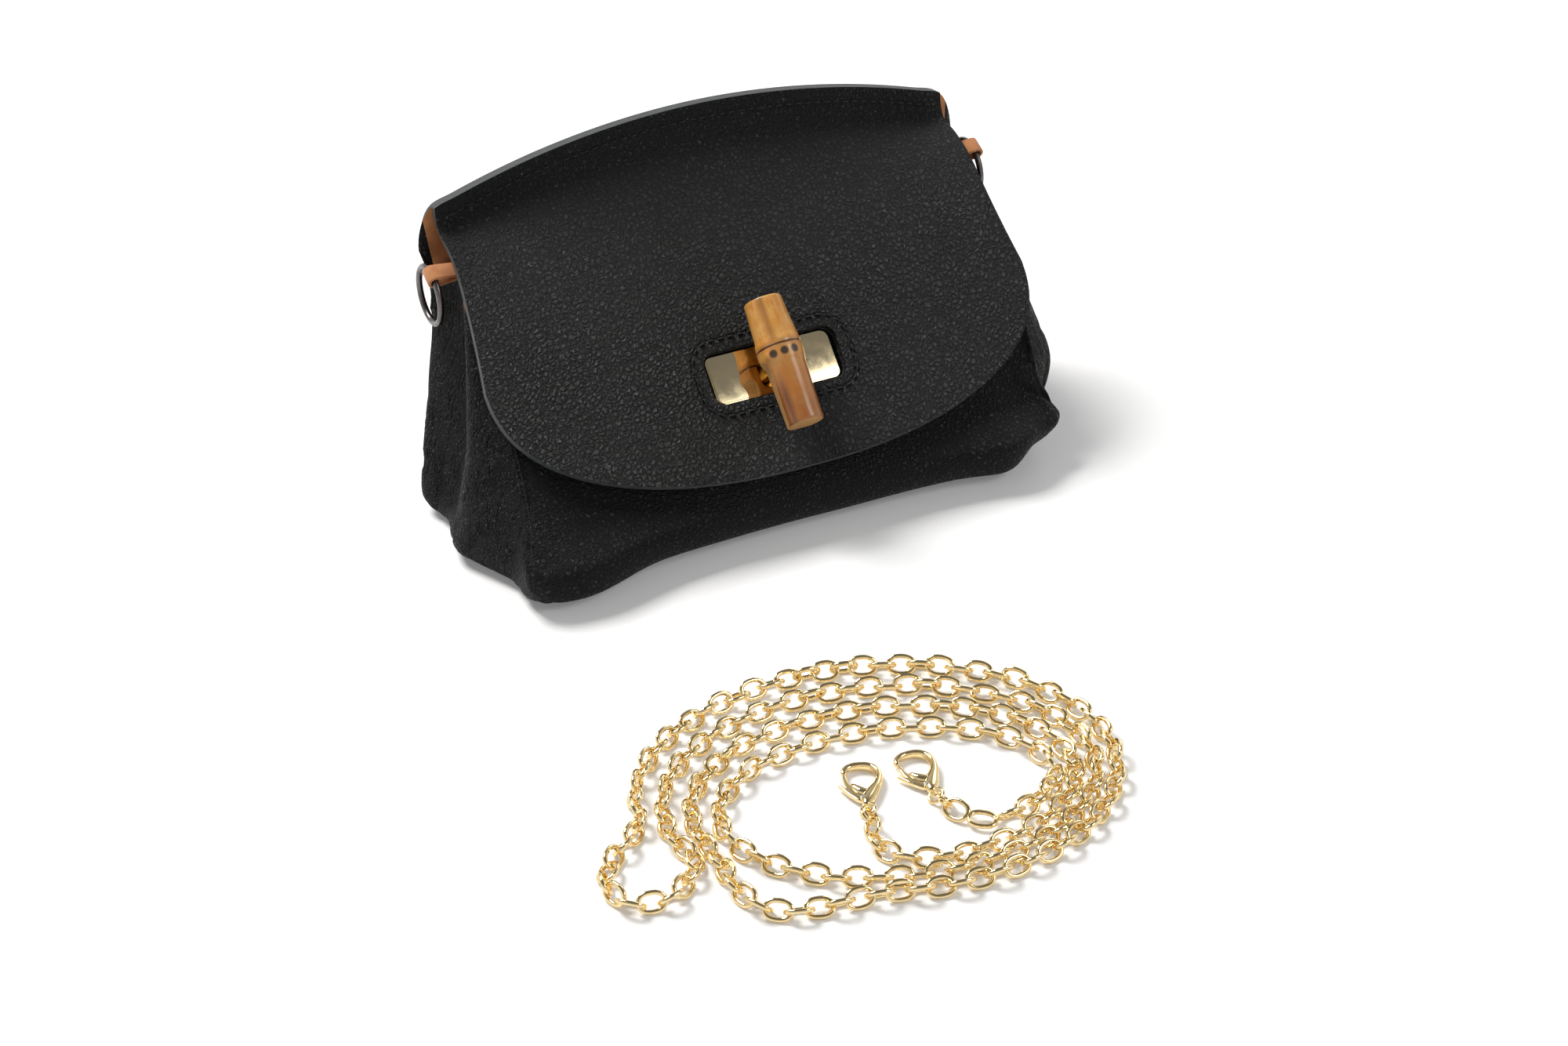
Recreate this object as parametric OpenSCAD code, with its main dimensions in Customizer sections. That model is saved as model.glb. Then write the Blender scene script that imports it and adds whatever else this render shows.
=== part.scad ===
// Small leather shoulder wallet: a soft gusseted pouch with a fold-over flap,
// a bamboo turn lock, a ring at each side and a detached chain strap.
// Origin: centre of the base, on the surface it stands on. +Z up, front is -Y.

/* [Pouch] */
// Width across the fullest part of the belly
pouch_w = 190; // [170:1:210]
// Depth from the front of the belly to the back of the ridge
pouch_d = 92; // [86:1:100]
// Height of the stitched ridge at its middle
ridge_h = 98.5; // [94:0.5:104]
// Length of the stitched ridge from end to end
ridge_w = 162; // [156:1:164]
// How much lower the ends of the ridge are than its middle
ridge_drop = 13.5; // [10:0.5:15]
// Height of the sewn strip along the ridge
seam_h = 7.5; // [6:0.5:8.5]
// Thickness of the leather of the pouch
wall_t = 1.6; // [1.2:0.1:1.8]
// Height of the fullest line of the belly
belly_z = 13; // [11:0.5:15]

/* [Flap] */
// Thickness of the flap leather
flap_t = 2.2; // [1.8:0.1:2.4]
// Width of the flap where its lower corners begin
flap_w = 171; // [168:1:174]
// Length of the flap down its slope
flap_len = 104.5; // [100:0.5:106]
// Squareness of the lower corners: 2 is an ellipse
flap_square = 2.3; // [2.1:0.1:2.6]
// Length of the slot
slot_l = 42; // [41:0.5:46]
// Height of the slot
slot_h = 16; // [15.5:0.5:17]
// Corner radius of the slot
slot_r = 4; // [3:0.5:5]
// Width of the facing round the slot
facing_w = 6; // [5:0.5:7]
// Thickness of the facing
facing_t = 1; // [0.8:0.1:1.2]

/* [Turn lock] */
// Height of the middle of the lock above the floor
lock_z = 42; // [41:0.5:43]
// Distance of the middle of the lock in front of the origin
lock_front = 10; // [9:0.5:11]
// Length of the lock plate
plate_l = 39; // [36:0.5:40]
// Height of the lock plate
plate_h = 14.5; // [13:0.5:15]
// Thickness of the lock plate
plate_t = 1.4; // [1.2:0.1:1.5]
// Diameter of the turning spindle
spindle_d = 5; // [4:0.5:6]
// Length of the bamboo toggle
toggle_l = 41; // [38:0.5:44]
// Diameter of the toggle at its ends
toggle_d = 12.6; // [12:0.1:13.4]
// Height of the toggle's axis above the flap
toggle_lift = 7; // [6.5:0.1:8]

/* [Rings and tabs] */
// Outer diameter of a strap ring
ring_d = 18.6; // [17:0.2:19.4]
// Diameter of the wire of a ring
ring_wire = 1.9; // [1.6:0.1:2.1]
// Width of a ring tab
tab_w = 5; // [4:0.5:6]
// Thickness of the tab leather
tab_t = 0.8; // [0.6:0.1:0.9]

/* [Chain strap] */
// Length of a link
link_l = 8.3; // [8.1:0.1:8.6]
// Width of a link
link_w = 6.2; // [6:0.1:6.3]
// Diameter of the wire of a link
link_wire = 1.3; // [1.2:0.05:1.35]
// Length of a clasp from hook to eye
clasp_l = 23; // [21:0.5:25]

/* [Inside] */
// Thickness of the divider and card pocket leather
inner_t = 1; // [0.8:0.1:1.2]
// Width of the card pocket
card_w = 98; // [92:1:104]

/* [Hidden] */
// Clearances: between leather parts that only lie together, and round the spindle
lie_gap = 0.4;
run_gap = 0.05;
over = 1;
leather = [0.11, 0.12, 0.13];
suede = [0.78, 0.5, 0.3];
gold = [0.93, 0.75, 0.4];

// Places that the flap and the pouch share
half_w = pouch_w / 2;
ridge_half = ridge_w / 2;
ridge_back_share = 0.543;
ridge_y = ridge_back_share * pouch_d;
ridge_bow = 2;
back_tilt = 10.3;
root_z = ridge_h - seam_h;
seam_gap = 0.1;
root_y = ridge_y - (wall_t + seam_gap + flap_t) / cos(back_tilt) - seam_h * tan(back_tilt);
slope = atan2(root_z - lock_z, root_y + lock_front);
fade_len = 24;
flap_mid_half = flap_w / 2;
corner_start_share = 0.574;
corner_s = corner_start_share * flap_len;

function mix(a, b, t) = a + (b - a) * t;
function sq(t) = t * t;
function unit(v) = v / norm(v);

// Height of the flap's outer face over a point of the floor
function flap_z(x, y) = lock_z + (y + lock_front) * tan(slope)
    - ridge_drop * sq(x / ridge_half) * sq(max(0, 1 - (root_y - y) / fade_len));

// Smooth curve through a list of points, with n steps between neighbours
function tangent(p, q, r) = let (a = norm(q - p), b = norm(r - q))
    a == 0 ? (r - q) / b : b == 0 ? (q - p) / a : ((q - p) / a * b + (r - q) / b * a) / (a + b);
function curve_at(p, q, r, s, t) = let (d = norm(r - q), u = 3 * sq(t) - 2 * sq(t) * t)
    mix(q, r, u) + d * (t * sq(1 - t) * tangent(p, q, r) - sq(t) * (1 - t) * tangent(q, r, s));
function curve(p, n) = [
    for (i = [0 : len(p) - 2], k = [0 : n - 1])
        curve_at(p[max(i - 1, 0)], p[i], p[i + 1], p[min(i + 2, len(p) - 1)], k / n),
    p[len(p) - 1]];
function closed_curve(p, n) = let (m = len(p)) [
    for (i = [0 : m - 1], k = [0 : n - 1])
        curve_at(p[(i + m - 1) % m], p[i], p[(i + 1) % m], p[(i + 2) % m], k / n)];

// Stations round half of the pouch, from the middle of the back to the middle of the front.
// Each row holds x and y at five levels: bottom edge, low, belly, waist, chest, and the top.
// x is a share of half the width, y a share of the depth.
back_shares = [
    [[0, 0.26], [0, 0.337], [0, 0.38], [0, 0.42], [0, 0.468], [0, 0.543]],
    [[0.47, 0.26], [0.5, 0.337], [0.52, 0.38], [0.52, 0.42], [0.51, 0.466], [0.5, 0.535]],
    [[0.8, 0.25], [0.86, 0.315], [0.895, 0.355], [0.885, 0.41], [0.86, 0.46],
        [ridge_half / half_w, 0.522]]];
side_shares = [
    [[0.875, 0.2], [0.947, 0.265], [0.99, 0.305], [0.935, 0.4], [0.893, 0.453], [0.885, 0.485]],
    [[0.885, 0.11], [0.93, 0.13], [0.937, 0.15], [0.87, 0.225], [0.832, 0.305], [0.824, 0.375]],
    [[0.895, -0.04], [0.968, -0.055], [1, -0.065], [0.955, 0.005], [0.905, 0.11], [0.864, 0.225]],
    [[0.885, -0.15], [0.926, -0.2], [0.92, -0.22], [0.853, -0.14], [0.822, 0.02], [0.822, 0.155]],
    [[0.842, -0.25], [0.905, -0.36], [0.937, -0.413], [0.89, -0.305], [0.86, -0.14], [0.85, 0.045]]];
// How far the top of each side station lies below the flap, in shares of the side drop
side_drop_shares = [2.1, 2.2, 1.3, 2.2, 1.15];
front_shares = [
    [[0.755, -0.272], [0.8, -0.39], [0.81, -0.446], [0.79, -0.305], [0.78, -0.141], [0.77, 0.022]],
    [[0.47, -0.245], [0.48, -0.342], [0.485, -0.397], [0.48, -0.293], [0.475, -0.141], [0.47, 0.022]],
    [[0, -0.24], [0, -0.327], [0, -0.375], [0, -0.293], [0, -0.141], [0, 0.022]]];
low_share = 0.27;
back_waist_share = 0.5;
waist_share = 0.37;
chest_share = 0.72;
chest_drop = 38;
stack_drop = (flap_t + facing_t + lie_gap) / cos(slope);
side_drop = (flap_t + 2.5 * lie_gap) / cos(slope);

function plan(p) = [p[0] * half_w, p[1] * pouch_d];
function lift(p, z) = [p[0], p[1], z];
function under_flap(p, drop) = lift(p, flap_z(p[0], p[1]) - drop);
function arch(x) = ridge_drop * sq(x / ridge_half);

// Six levels of one station, as points on the outer face
function lower_points(s) = [
    lift(plan(s[0]), 0), lift(plan(s[1]), belly_z * low_share), lift(plan(s[2]), belly_z)];
function back_points(s) = let (
    x = s[5][0] * half_w,
    top_y = ridge_y - ridge_bow * sq(x / ridge_half),
    top_z = ridge_h - arch(x),
    chest_z = top_z - chest_drop)
    concat(lower_points(s), [
        lift(plan(s[3]), mix(belly_z, chest_z, back_waist_share)),
        [s[4][0] * half_w, top_y - chest_drop * tan(back_tilt), chest_z],
        [x, top_y, top_z]]);
function side_points(s, share) = let (
    drop = side_drop * share,
    top = under_flap(plan(s[5]), drop),
    waist = under_flap(plan(s[3]), drop),
    chest = under_flap(plan(s[4]), drop))
    concat(lower_points(s), [
        lift(waist, min(waist[2], mix(belly_z, top[2], waist_share))),
        lift(chest, min(chest[2], mix(belly_z, top[2], chest_share))),
        top]);
function front_points(s) = concat(lower_points(s), [
    for (k = [3 : 5]) under_flap(plan(s[k]), stack_drop)]);

half_loop = concat(
    [for (s = back_shares) back_points(s)],
    [for (i = [0 : len(side_shares) - 1]) side_points(side_shares[i], side_drop_shares[i])],
    [for (s = front_shares) front_points(s)]);
function mirrored(points) = [for (p = points) [-p[0], p[1], p[2]]];
last = len(half_loop) - 1;
loop = concat(half_loop, [for (i = [last - 1 : -1 : 1]) mirrored(half_loop[i])]);

// The outer face as rows of points, bottom row first, and the inner face beside it
loop_steps = 4;
rise_steps = 3;
rises = [for (s = loop) curve(s, rise_steps)];
rows = len(rises[0]);
outer = [for (r = [0 : rows - 1]) closed_curve([for (s = rises) s[r]], loop_steps)];
cols = len(outer[0]);
function normal_at(g, r, c) = let (
    here = g[r][c],
    across = unit(g[r][(c + 1) % cols] - here) + unit(here - g[r][(c + cols - 1) % cols]),
    up = g[min(r + 1, rows - 1)][c] - g[max(r - 1, 0)][c])
    r == 0 ? [0, 0, -1] : unit(cross(up, across));
// The leather is pared thin where the side panels are sewn to the front and the back
back_end = loop_steps * len(back_shares);
front_start = loop_steps * (len(back_shares) + len(side_shares) - 1);
pared_share = 0.15;
function pared(c) = let (
    d = min([for (k = [back_end, front_start, cols - front_start, cols - back_end]) abs(c - k)]))
    mix(pared_share, 1, min(1, d / loop_steps));
inner = [for (r = [0 : rows - 1]) [for (c = [0 : cols - 1])
    outer[r][c] - wall_t * (r == 0 ? 1 : pared(c)) * normal_at(outer, r, c)]];

// A closed skin between two grids of the same size
module skin(a, b) {
    nr = len(a);
    nc = len(a[0]);
    n = nr * nc;
    points = concat([for (r = a) for (p = r) p], [for (r = b) for (p = r) p]);
    faces = concat(
        [for (r = [0 : nr - 2], c = [0 : nc - 2]) let (i = r * nc + c)
            each [[i, i + nc, i + 1], [i + 1, i + nc, i + nc + 1]]],
        [for (r = [0 : nr - 2], c = [0 : nc - 2]) let (i = n + r * nc + c)
            each [[i, i + 1, i + nc], [i + 1, i + nc + 1, i + nc]]],
        [for (c = [0 : nc - 2]) let (i = c, j = (nr - 1) * nc + c)
            each [[i, i + 1, n + i], [i + 1, n + i + 1, n + i],
                [j, n + j, j + 1], [j + 1, n + j, n + j + 1]]],
        [for (r = [0 : nr - 2]) let (i = r * nc, j = r * nc + nc - 1)
            each [[i, n + i, i + nc], [i + nc, n + i, n + i + nc],
                [j, j + nc, n + j], [j + nc, n + j + nc, n + j]]]);
    polyhedron(points = points, faces = faces, convexity = 10);
}
function part_of(g, from, to) = [for (r = g) [for (c = [from : to]) r[(c + cols) % cols]]];
module panel(from, to) {
    skin(part_of(inner, from, to), part_of(outer, from, to));
}

module back_panel() {
    color(leather) panel(-back_end, back_end);
}
module gusset_right() {
    color(leather) panel(back_end, front_start);
}
module gusset_left() {
    color(leather) panel(cols - front_start, cols - back_end);
}
module bottom_panel() {
    color(leather) linear_extrude(wall_t) polygon([for (p = outer[0]) [p[0], p[1]]]);
}

// Flap: rows of points from the seam down to the lower edge
root_steps = 9;
corner_steps = 12;
corner_end = 86;
flap_cols = 20;
round_share = 2 / flap_square;
function flap_half(s) = mix(ridge_half, flap_mid_half, sq(s / corner_s));
flap_ends = concat(
    [for (k = [0 : root_steps - 1]) let (s = mix(lie_gap, corner_s, pow(k / root_steps, 1.3)))
        [flap_half(s), s]],
    [for (k = [0 : corner_steps]) let (a = corner_end * k / corner_steps)
        [flap_mid_half * pow(cos(a), round_share),
            corner_s + (flap_len - corner_s) * pow(sin(a), round_share)]]);
function flap_point(x, s) = let (
    y = root_y - ridge_bow * sq(x / ridge_half) * (1 - s / flap_len) - s * cos(slope))
    [x, y, flap_z(x, y)];
flap_top = [for (e = flap_ends) [
    for (c = [0 : flap_cols]) flap_point(e[0] * (2 * c / flap_cols - 1), e[1])]];
function open_normal(g, r, c) = unit(cross(
    g[r][min(c + 1, len(g[r]) - 1)] - g[r][max(c - 1, 0)],
    g[max(r - 1, 0)][c] - g[min(r + 1, len(g) - 1)][c]));
function shifted(g, d) = [for (r = [0 : len(g) - 1]) [
    for (c = [0 : len(g[r]) - 1]) g[r][c] + d * open_normal(g, r, c)]];

module at_lock() {
    translate([0, -lock_front, lock_z]) rotate([slope, 0, 0]) children();
}
// A flat plate with round corners, true arcs
module rounded(l, h, r) {
    square([l - 2 * r, h], center = true);
    square([l, h - 2 * r], center = true);
    for (x = [-1, 1], y = [-1, 1])
        translate([x * (l / 2 - r), y * (h / 2 - r)]) circle(r, $fn = 48);
}

module flap_panel() {
    color(leather) difference() {
        skin(shifted(flap_top, -flap_t), flap_top);
        at_lock() translate([0, 0, -flap_t - over])
            linear_extrude(flap_t + 2 * over) rounded(slot_l, slot_h, slot_r);
    }
}
module slot_facing() {
    color(leather) at_lock() translate([0, 0, -flap_t - facing_t]) linear_extrude(facing_t)
        difference() {
            rounded(slot_l + 2 * facing_w, slot_h + 2 * facing_w, slot_r + facing_w);
            rounded(slot_l, slot_h, slot_r);
        }
}
// The sewn strip of the flap that stands up along the ridge
module flap_root() {
    ends = loop_steps * (len(back_shares) - 1);
    top = rows - 1;
    near = [for (c = [-ends : ends]) let (
        i = (c + cols) % cols,
        high = inner[top][i],
        low = inner[top - 1][i],
        n = normal_at(outer, top, i))
        [mix(high, low, seam_h / (high[2] - low[2])) - seam_gap * n, high - seam_gap * n, n]];
    back = [[for (p = near) p[0]], [for (p = near) p[1]]];
    front = [[for (p = near) p[0] - flap_t * p[2]], [for (p = near) p[1] - flap_t * p[2]]];
    color(leather) skin(front, back);
}

// Turn lock, drawn in its own frame: X along the slot, Y up the slope, Z out of the flap
stack = flap_t + facing_t + lie_gap;
plate_r = 2;
plate_bevel = 0.4;
stud_d = 2.4;
stud_x_share = 0.34;
stud_x = stud_x_share * plate_l;
backing_t = 0.8;
backing_h = 10;
backing_inset = 5;
clip_t = 0.8;
clip_d = 8.5;
hole_room = 0.5;
saddle_t = 0.8;
saddle_l = 9;
flat_share = 0.73;
toggle_flat = flat_share * toggle_d / 2;
saddle_top = toggle_lift - toggle_flat;
back_face = -stack - wall_t;
clip_top = back_face - backing_t - run_gap;
screw_d = 2.2;
screw_head_d = 4;
screw_head_t = 1.2;
screw_depth = 3.5;
module at_studs() {
    for (x = [-1, 1]) translate([x * stud_x, 0, 0]) children();
}
module front_panel() {
    color(leather) difference() {
        panel(front_start, cols - front_start);
        at_lock() translate([0, 0, back_face - over]) {
            cylinder(d = spindle_d + 2 * hole_room, h = wall_t + 2 * over, $fn = 48);
            at_studs() cylinder(d = stud_d + 2 * run_gap, h = wall_t + 2 * over, $fn = 32);
        }
    }
}
module lock_plate() {
    color(gold) at_lock() difference() {
        translate([0, 0, -stack]) {
            linear_extrude(plate_t - plate_bevel) rounded(plate_l, plate_h, plate_r);
            linear_extrude(plate_t)
                rounded(plate_l - 2 * plate_bevel, plate_h - 2 * plate_bevel, plate_r - plate_bevel);
            at_studs() translate([0, 0, -wall_t - backing_t - plate_bevel])
                cylinder(d = stud_d, h = wall_t + backing_t + plate_bevel, $fn = 32);
        }
        translate([0, 0, -stack - over])
            cylinder(d = spindle_d + 2 * run_gap, h = plate_t + 2 * over, $fn = 48);
    }
}
module lock_backing() {
    color("silver") at_lock() translate([0, 0, back_face - backing_t - run_gap])
        linear_extrude(backing_t) difference() {
            rounded(plate_l - backing_inset, backing_h, plate_r);
            circle(d = spindle_d + 2 * run_gap, $fn = 48);
            at_studs() circle(d = stud_d + 2 * run_gap, $fn = 32);
        }
}
module lock_spindle() {
    low = clip_top - backing_t / 4 - clip_t - screw_head_t;
    color(gold) at_lock() difference() {
        translate([0, 0, low]) cylinder(d = spindle_d, h = saddle_top - saddle_t - low, $fn = 48);
        translate([0, 0, low - over])
            cylinder(d = screw_d + 2 * run_gap, h = saddle_top + stack + over - low, $fn = 32);
    }
}
module spindle_clip() {
    color("silver") at_lock() translate([0, 0, clip_top - run_gap - clip_t])
        linear_extrude(clip_t) difference() {
            circle(d = clip_d, $fn = 48);
            circle(d = spindle_d + run_gap, $fn = 48);
        }
}
module toggle_screw() {
    low = clip_top - backing_t / 4 - clip_t - screw_head_t;
    color("silver") at_lock() {
        translate([0, 0, low - screw_head_t]) cylinder(d = screw_head_d, h = screw_head_t, $fn = 32);
        translate([0, 0, low - over / 4])
            cylinder(d = screw_d, h = saddle_top + screw_depth - low, $fn = 32);
    }
}
module toggle_saddle() {
    color(gold) at_lock() translate([0, 0, saddle_top - saddle_t]) linear_extrude(saddle_t)
        difference() {
            rounded(spindle_d + 2 * saddle_t, saddle_l, plate_r);
            circle(d = screw_d + 2 * run_gap, $fn = 32);
        }
}
// Shape of the bamboo: places along it and radii, both as shares, with the node at 0
bamboo_shares = [
    [-0.5, 0.93], [-0.478, 1], [-0.4, 0.985], [-0.25, 0.88], [-0.13, 0.84], [-0.05, 0.93],
    [-0.01, 1.01], [0.01, 1.01], [0.03, 0.94], [0.13, 0.86], [0.3, 0.93], [0.42, 0.99],
    [0.48, 1], [0.5, 0.95]];
module bamboo_toggle() {
    side = curve([for (p = bamboo_shares) [p[1] * toggle_d / 2, p[0] * toggle_l]], 2);
    color([0.8, 0.56, 0.26]) at_lock() translate([0, 0, toggle_lift]) difference() {
        rotate([-90, 0, 0]) rotate_extrude($fn = 64)
            polygon(concat([[0, -toggle_l / 2]], side, [[0, toggle_l / 2]]));
        translate([0, 0, -toggle_flat - toggle_d / 2]) cube([toggle_d + over, toggle_l + over, toggle_d],
            center = true);
        translate([0, 0, -toggle_flat - over])
            cylinder(d = screw_d + 2 * run_gap, h = screw_depth + 2 * over, $fn = 32);
    }
}

// Ring at the left, hung from a folded leather tab over the gusset's top edge
ring_r = (ring_d - ring_wire) / 2;
ring_x_share = 0.914;
ring_x = ring_x_share * half_w;
tab_y_share = 0.359;
tab_y = tab_y_share * pouch_d;
tab_z_share = 0.719;
tab_z = tab_z_share * ridge_h;
tab_tilt = 22;
tab_leg = 11;
wire_sag = ring_r - sqrt(sq(ring_r) - sq(tab_w / 2));
tab_bore = ring_wire / 2 + wire_sag + 2 * run_gap;
module at_tab(side) {
    translate([side * ring_x, tab_y, tab_z]) rotate([tab_tilt, 0, 0]) children();
}
module tab() {
    r = tab_bore + tab_t;
    color(suede) at_tab(1) rotate([90, 0, 0]) linear_extrude(tab_w, center = true) difference() {
        union() {
            circle(r, $fn = 48);
            polygon([[0, r], [-tab_leg, tab_t], [-tab_leg, -tab_t], [0, -r]]);
        }
        circle(tab_bore, $fn = 48);
    }
}
module ring(side) {
    color([0.3, 0.29, 0.28]) at_tab(side) translate([0, 0, -ring_r]) rotate([0, 90, 0])
        rotate_extrude($fn = 96) translate([ring_r, 0]) circle(d = ring_wire, $fn = 32);
}
module tab_left() {
    mirror([1, 0, 0]) tab();
}
module tab_right() {
    tab();
}
module ring_left() {
    ring(-1);
}
module ring_right() {
    ring(1);
}

// Divider between the two compartments, with two stepped card pockets on its back
divider_y_share = 0.054;
divider_tilt = 7.4;
divider_h = 54;
// Height up the divider, and half its width, as shares of its height and of half the pouch
divider_shares = [[0, 0.855], [0.07, 0.91], [0.2, 0.925], [0.45, 0.9], [0.75, 0.845], [1, 0.785]];
pocket_r = 4;
pocket_side = 1;
pocket_heights_share = [0.82, 0.62];
module at_divider() {
    translate([0, divider_y_share * pouch_d, wall_t + seam_gap]) rotate([90 - divider_tilt, 0, 0])
        children();
}
module divider() {
    edge = [for (p = divider_shares) [p[1] * half_w - wall_t, p[0] * divider_h]];
    color(suede) at_divider() linear_extrude(inner_t)
        polygon(concat(edge, [for (i = [len(edge) - 1 : -1 : 0]) [-edge[i][0], edge[i][1]]]));
}
module card_pocket(level) {
    h = pocket_heights_share[level] * divider_h;
    color(suede) at_divider()
        translate([0, h / 2 + pocket_side, -(level + 1) * (inner_t + run_gap)])
        linear_extrude(inner_t) rounded(card_w, h, pocket_r);
}
module card_pocket_tall() {
    card_pocket(0);
}
module card_pocket_short() {
    card_pocket(1);
}

// Chain strap: doubled, laid on the floor as a flat coil that winds inward clockwise
link_r = (link_w - link_wire) / 2;
link_flat = link_l - link_w;
link_slack = 0.4;
link_roll = 45;
link_z = link_r * sin(link_roll) + link_wire / 2;
coil_x = -35.5;
coil_y = -150;
coil_a = 68;
coil_b = 55;
coil_turn = -9;
strand_a = 6.4;
strand_b = 7.5;
strand_shift = 2.1;
coil_start = 200;
lobe_at = -133;
lobe_out = 11;
lobe_wide = 17;
sample_step = 12;
// k is the number of the strand, counted inward, at a given angle
function coil_point(angle, k, lobe) = let (
    out = lobe * exp(-sq((angle - lobe_at) / lobe_wide)),
    x = (coil_a - strand_a * k + out) * cos(angle),
    y = (coil_b - strand_b * k + out) * sin(angle))
    [coil_x + x * cos(coil_turn) - y * sin(coil_turn),
        coil_y - strand_shift * k + x * sin(coil_turn) + y * cos(coil_turn)];
function strand(from, to, first, lobe) = [
    for (a = [from : -sample_step : to]) coil_point(a, first + 2 * (coil_start - a) / 360, lobe)];
function reversed(p) = [for (i = [len(p) - 1 : -1 : 0]) p[i]];
outer_end = -436;
inner_end = -376;
bight = [[-99.5, -165], [-108, -170], [-116.5, -167.5], [-119.5, -159], [-114.5, -150.5]];
left_lead = [[-43.5, -183.3], [-49.2, -177.8], [-50, -171.8], [-48.6, -167.2]];
right_lead = [[-2, -173.8], [-8.5, -176.9], [-15.8, -177.8], [-22.5, -175.8], [-25.6, -169.8]];
route = curve(concat(
    reversed(right_lead), reversed(strand(200, inner_end, 1, 0)), bight,
    strand(180, outer_end, 0, lobe_out), left_lead), 6);
run = [for (i = 0, s = 0; i < len(route);
    s = s + (i < len(route) - 1 ? norm(route[i + 1] - route[i]) : 0), i = i + 1) s];
route_x = [for (i = [0 : len(route) - 1]) [run[i], route[i][0]]];
route_y = [for (i = [0 : len(route) - 1]) [run[i], route[i][1]]];
function on_route(s) = [lookup(s, route_x), lookup(s, route_y)];
route_l = run[len(run) - 1];
link_count = ceil(route_l / (link_l - 2 * link_wire - link_slack)) + 1;
link_pitch = route_l / (link_count - 1);
groups = 8;
per_group = ceil(link_count / groups);
echo(links = link_count, length = route_l);

module link(l, w, wire) {
    r = (w - wire) / 2;
    flat = l - w;
    for (side = [-1, 1]) {
        translate([side * flat / 2, 0, 0]) rotate([0, 0, -90 * side])
            rotate_extrude(angle = 180, $fn = 48) translate([r, 0]) circle(d = wire, $fn = 24);
        translate([-flat / 2, side * r, 0]) rotate([0, 90, 0]) cylinder(d = wire, h = flat, $fn = 24);
    }
}
module chain_group(g) {
    color(gold) for (i = [g * per_group : min((g + 1) * per_group, link_count) - 1]) {
        s = i * link_pitch;
        here = on_route(s);
        ahead = on_route(s + link_r) - on_route(s - link_r);
        translate(lift(here, link_z)) rotate([0, 0, atan2(ahead[1], ahead[0])])
            rotate([i % 2 == 0 ? link_roll : -link_roll, 0, 0]) link(link_l, link_w, link_wire);
    }
}
module chain_links_1() {
    chain_group(0);
}
module chain_links_2() {
    chain_group(1);
}
module chain_links_3() {
    chain_group(2);
}
module chain_links_4() {
    chain_group(3);
}
module chain_links_5() {
    chain_group(4);
}
module chain_links_6() {
    chain_group(5);
}
module chain_links_7() {
    chain_group(6);
}
module chain_links_8() {
    chain_group(7);
}

// Lobster clasps, lying flat at the two ends of the chain, each on a split ring
split_d = 6.1;
split_wire = 0.9;
split_step = 0.8;
split_r = (split_d - split_wire) / 2;
eye_r_share = 0.091;
eye_r = eye_r_share * clasp_l;
eye_wire = 1;
clasp_t_share = 0.13;
clasp_t = clasp_t_share * clasp_l;
lever_t = 1.2;
lever_gap = 0.15;
hub_x_share = -0.035;
hub_y_share = 0.2;
pin_d = 1;
lead_slack = 0.1;
clasp_turns = [-28, 0];
// Half outlines from the eye to the tip, and the other shapes, all in shares of the length
clasp_shares = [
    [0.06, 0.075], [0.08, 0.11], [0.14, 0.24], [0.205, 0.37], [0.237, 0.5], [0.24, 0.6],
    [0.205, 0.73], [0.12, 0.818], [0, 0.848]];
hole_shares = [
    [0, 0.395], [0.07, 0.42], [0.14, 0.5], [0.163, 0.6], [0.14, 0.71], [0.08, 0.765], [0, 0.78]];
mouth_shares = [[-0.3, 0.42], [-0.06, 0.42], [-0.1, 0.5], [-0.1, 0.69], [-0.3, 0.69]];
slot_shares = [
    [-0.3, 0.1], [0.05, 0.1], [0.06, 0.3], [0.02, 0.46], [-0.3, 0.46]];
lever_shares = [
    [-0.035, 0.145], [-0.1, 0.185], [-0.19, 0.3], [-0.285, 0.47], [-0.264, 0.49], [-0.195, 0.395],
    [-0.212, 0.5], [-0.218, 0.6], [-0.205, 0.675], [-0.168, 0.665], [-0.17, 0.6], [-0.155, 0.5],
    [-0.105, 0.38], [0.01, 0.24]];
function scaled(p, k) = [for (v = p) v * k];
function both_sides(p) = concat(p, [for (i = [len(p) - 2 : -1 : 1]) [-p[i][0], p[i][1]]]);
function heading(v) = atan2(v[1], v[0]);
function along(a) = [cos(a), sin(a)];

// Each end of the chain: the last link's centre, its heading outward and its roll
chain_ends = [
    [on_route(0), heading(on_route(0) - on_route(link_r)), -link_roll],
    [on_route(route_l), heading(on_route(route_l) - on_route(route_l - link_r)),
        link_count % 2 == 1 ? link_roll : -link_roll]];
function split_place(e) = let (a = chain_ends[e][1])
    chain_ends[e][0] + (link_l / 2 - link_wire - split_wire / 2 - lead_slack) * along(a)
        + split_r * along(a + clasp_turns[e] / 2);
function eye_place(e) = let (a = chain_ends[e][1])
    split_place(e) + split_r * along(a + clasp_turns[e] / 2)
        + (eye_r - eye_wire / 2 - split_wire / 2 - 3.6 * lead_slack) * along(a + clasp_turns[e]);
module split_ring(e) {
    a = chain_ends[e][1] + clasp_turns[e] / 2;
    z = split_r * sin(link_roll) + split_step / 2 * cos(link_roll) + split_wire / 2;
    color(gold) translate(lift(split_place(e), z)) rotate([0, 0, a])
        rotate([-chain_ends[e][2], 0, 0]) for (k = [-1, 1])
            translate([0, 0, k * split_step / 2]) rotate_extrude($fn = 64)
                translate([split_r, 0]) circle(d = split_wire, $fn = 24);
}
module at_clasp(e) {
    a = chain_ends[e][1] + clasp_turns[e];
    translate(lift(eye_place(e), 0)) rotate([0, 0, a - 90]) children();
}
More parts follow.
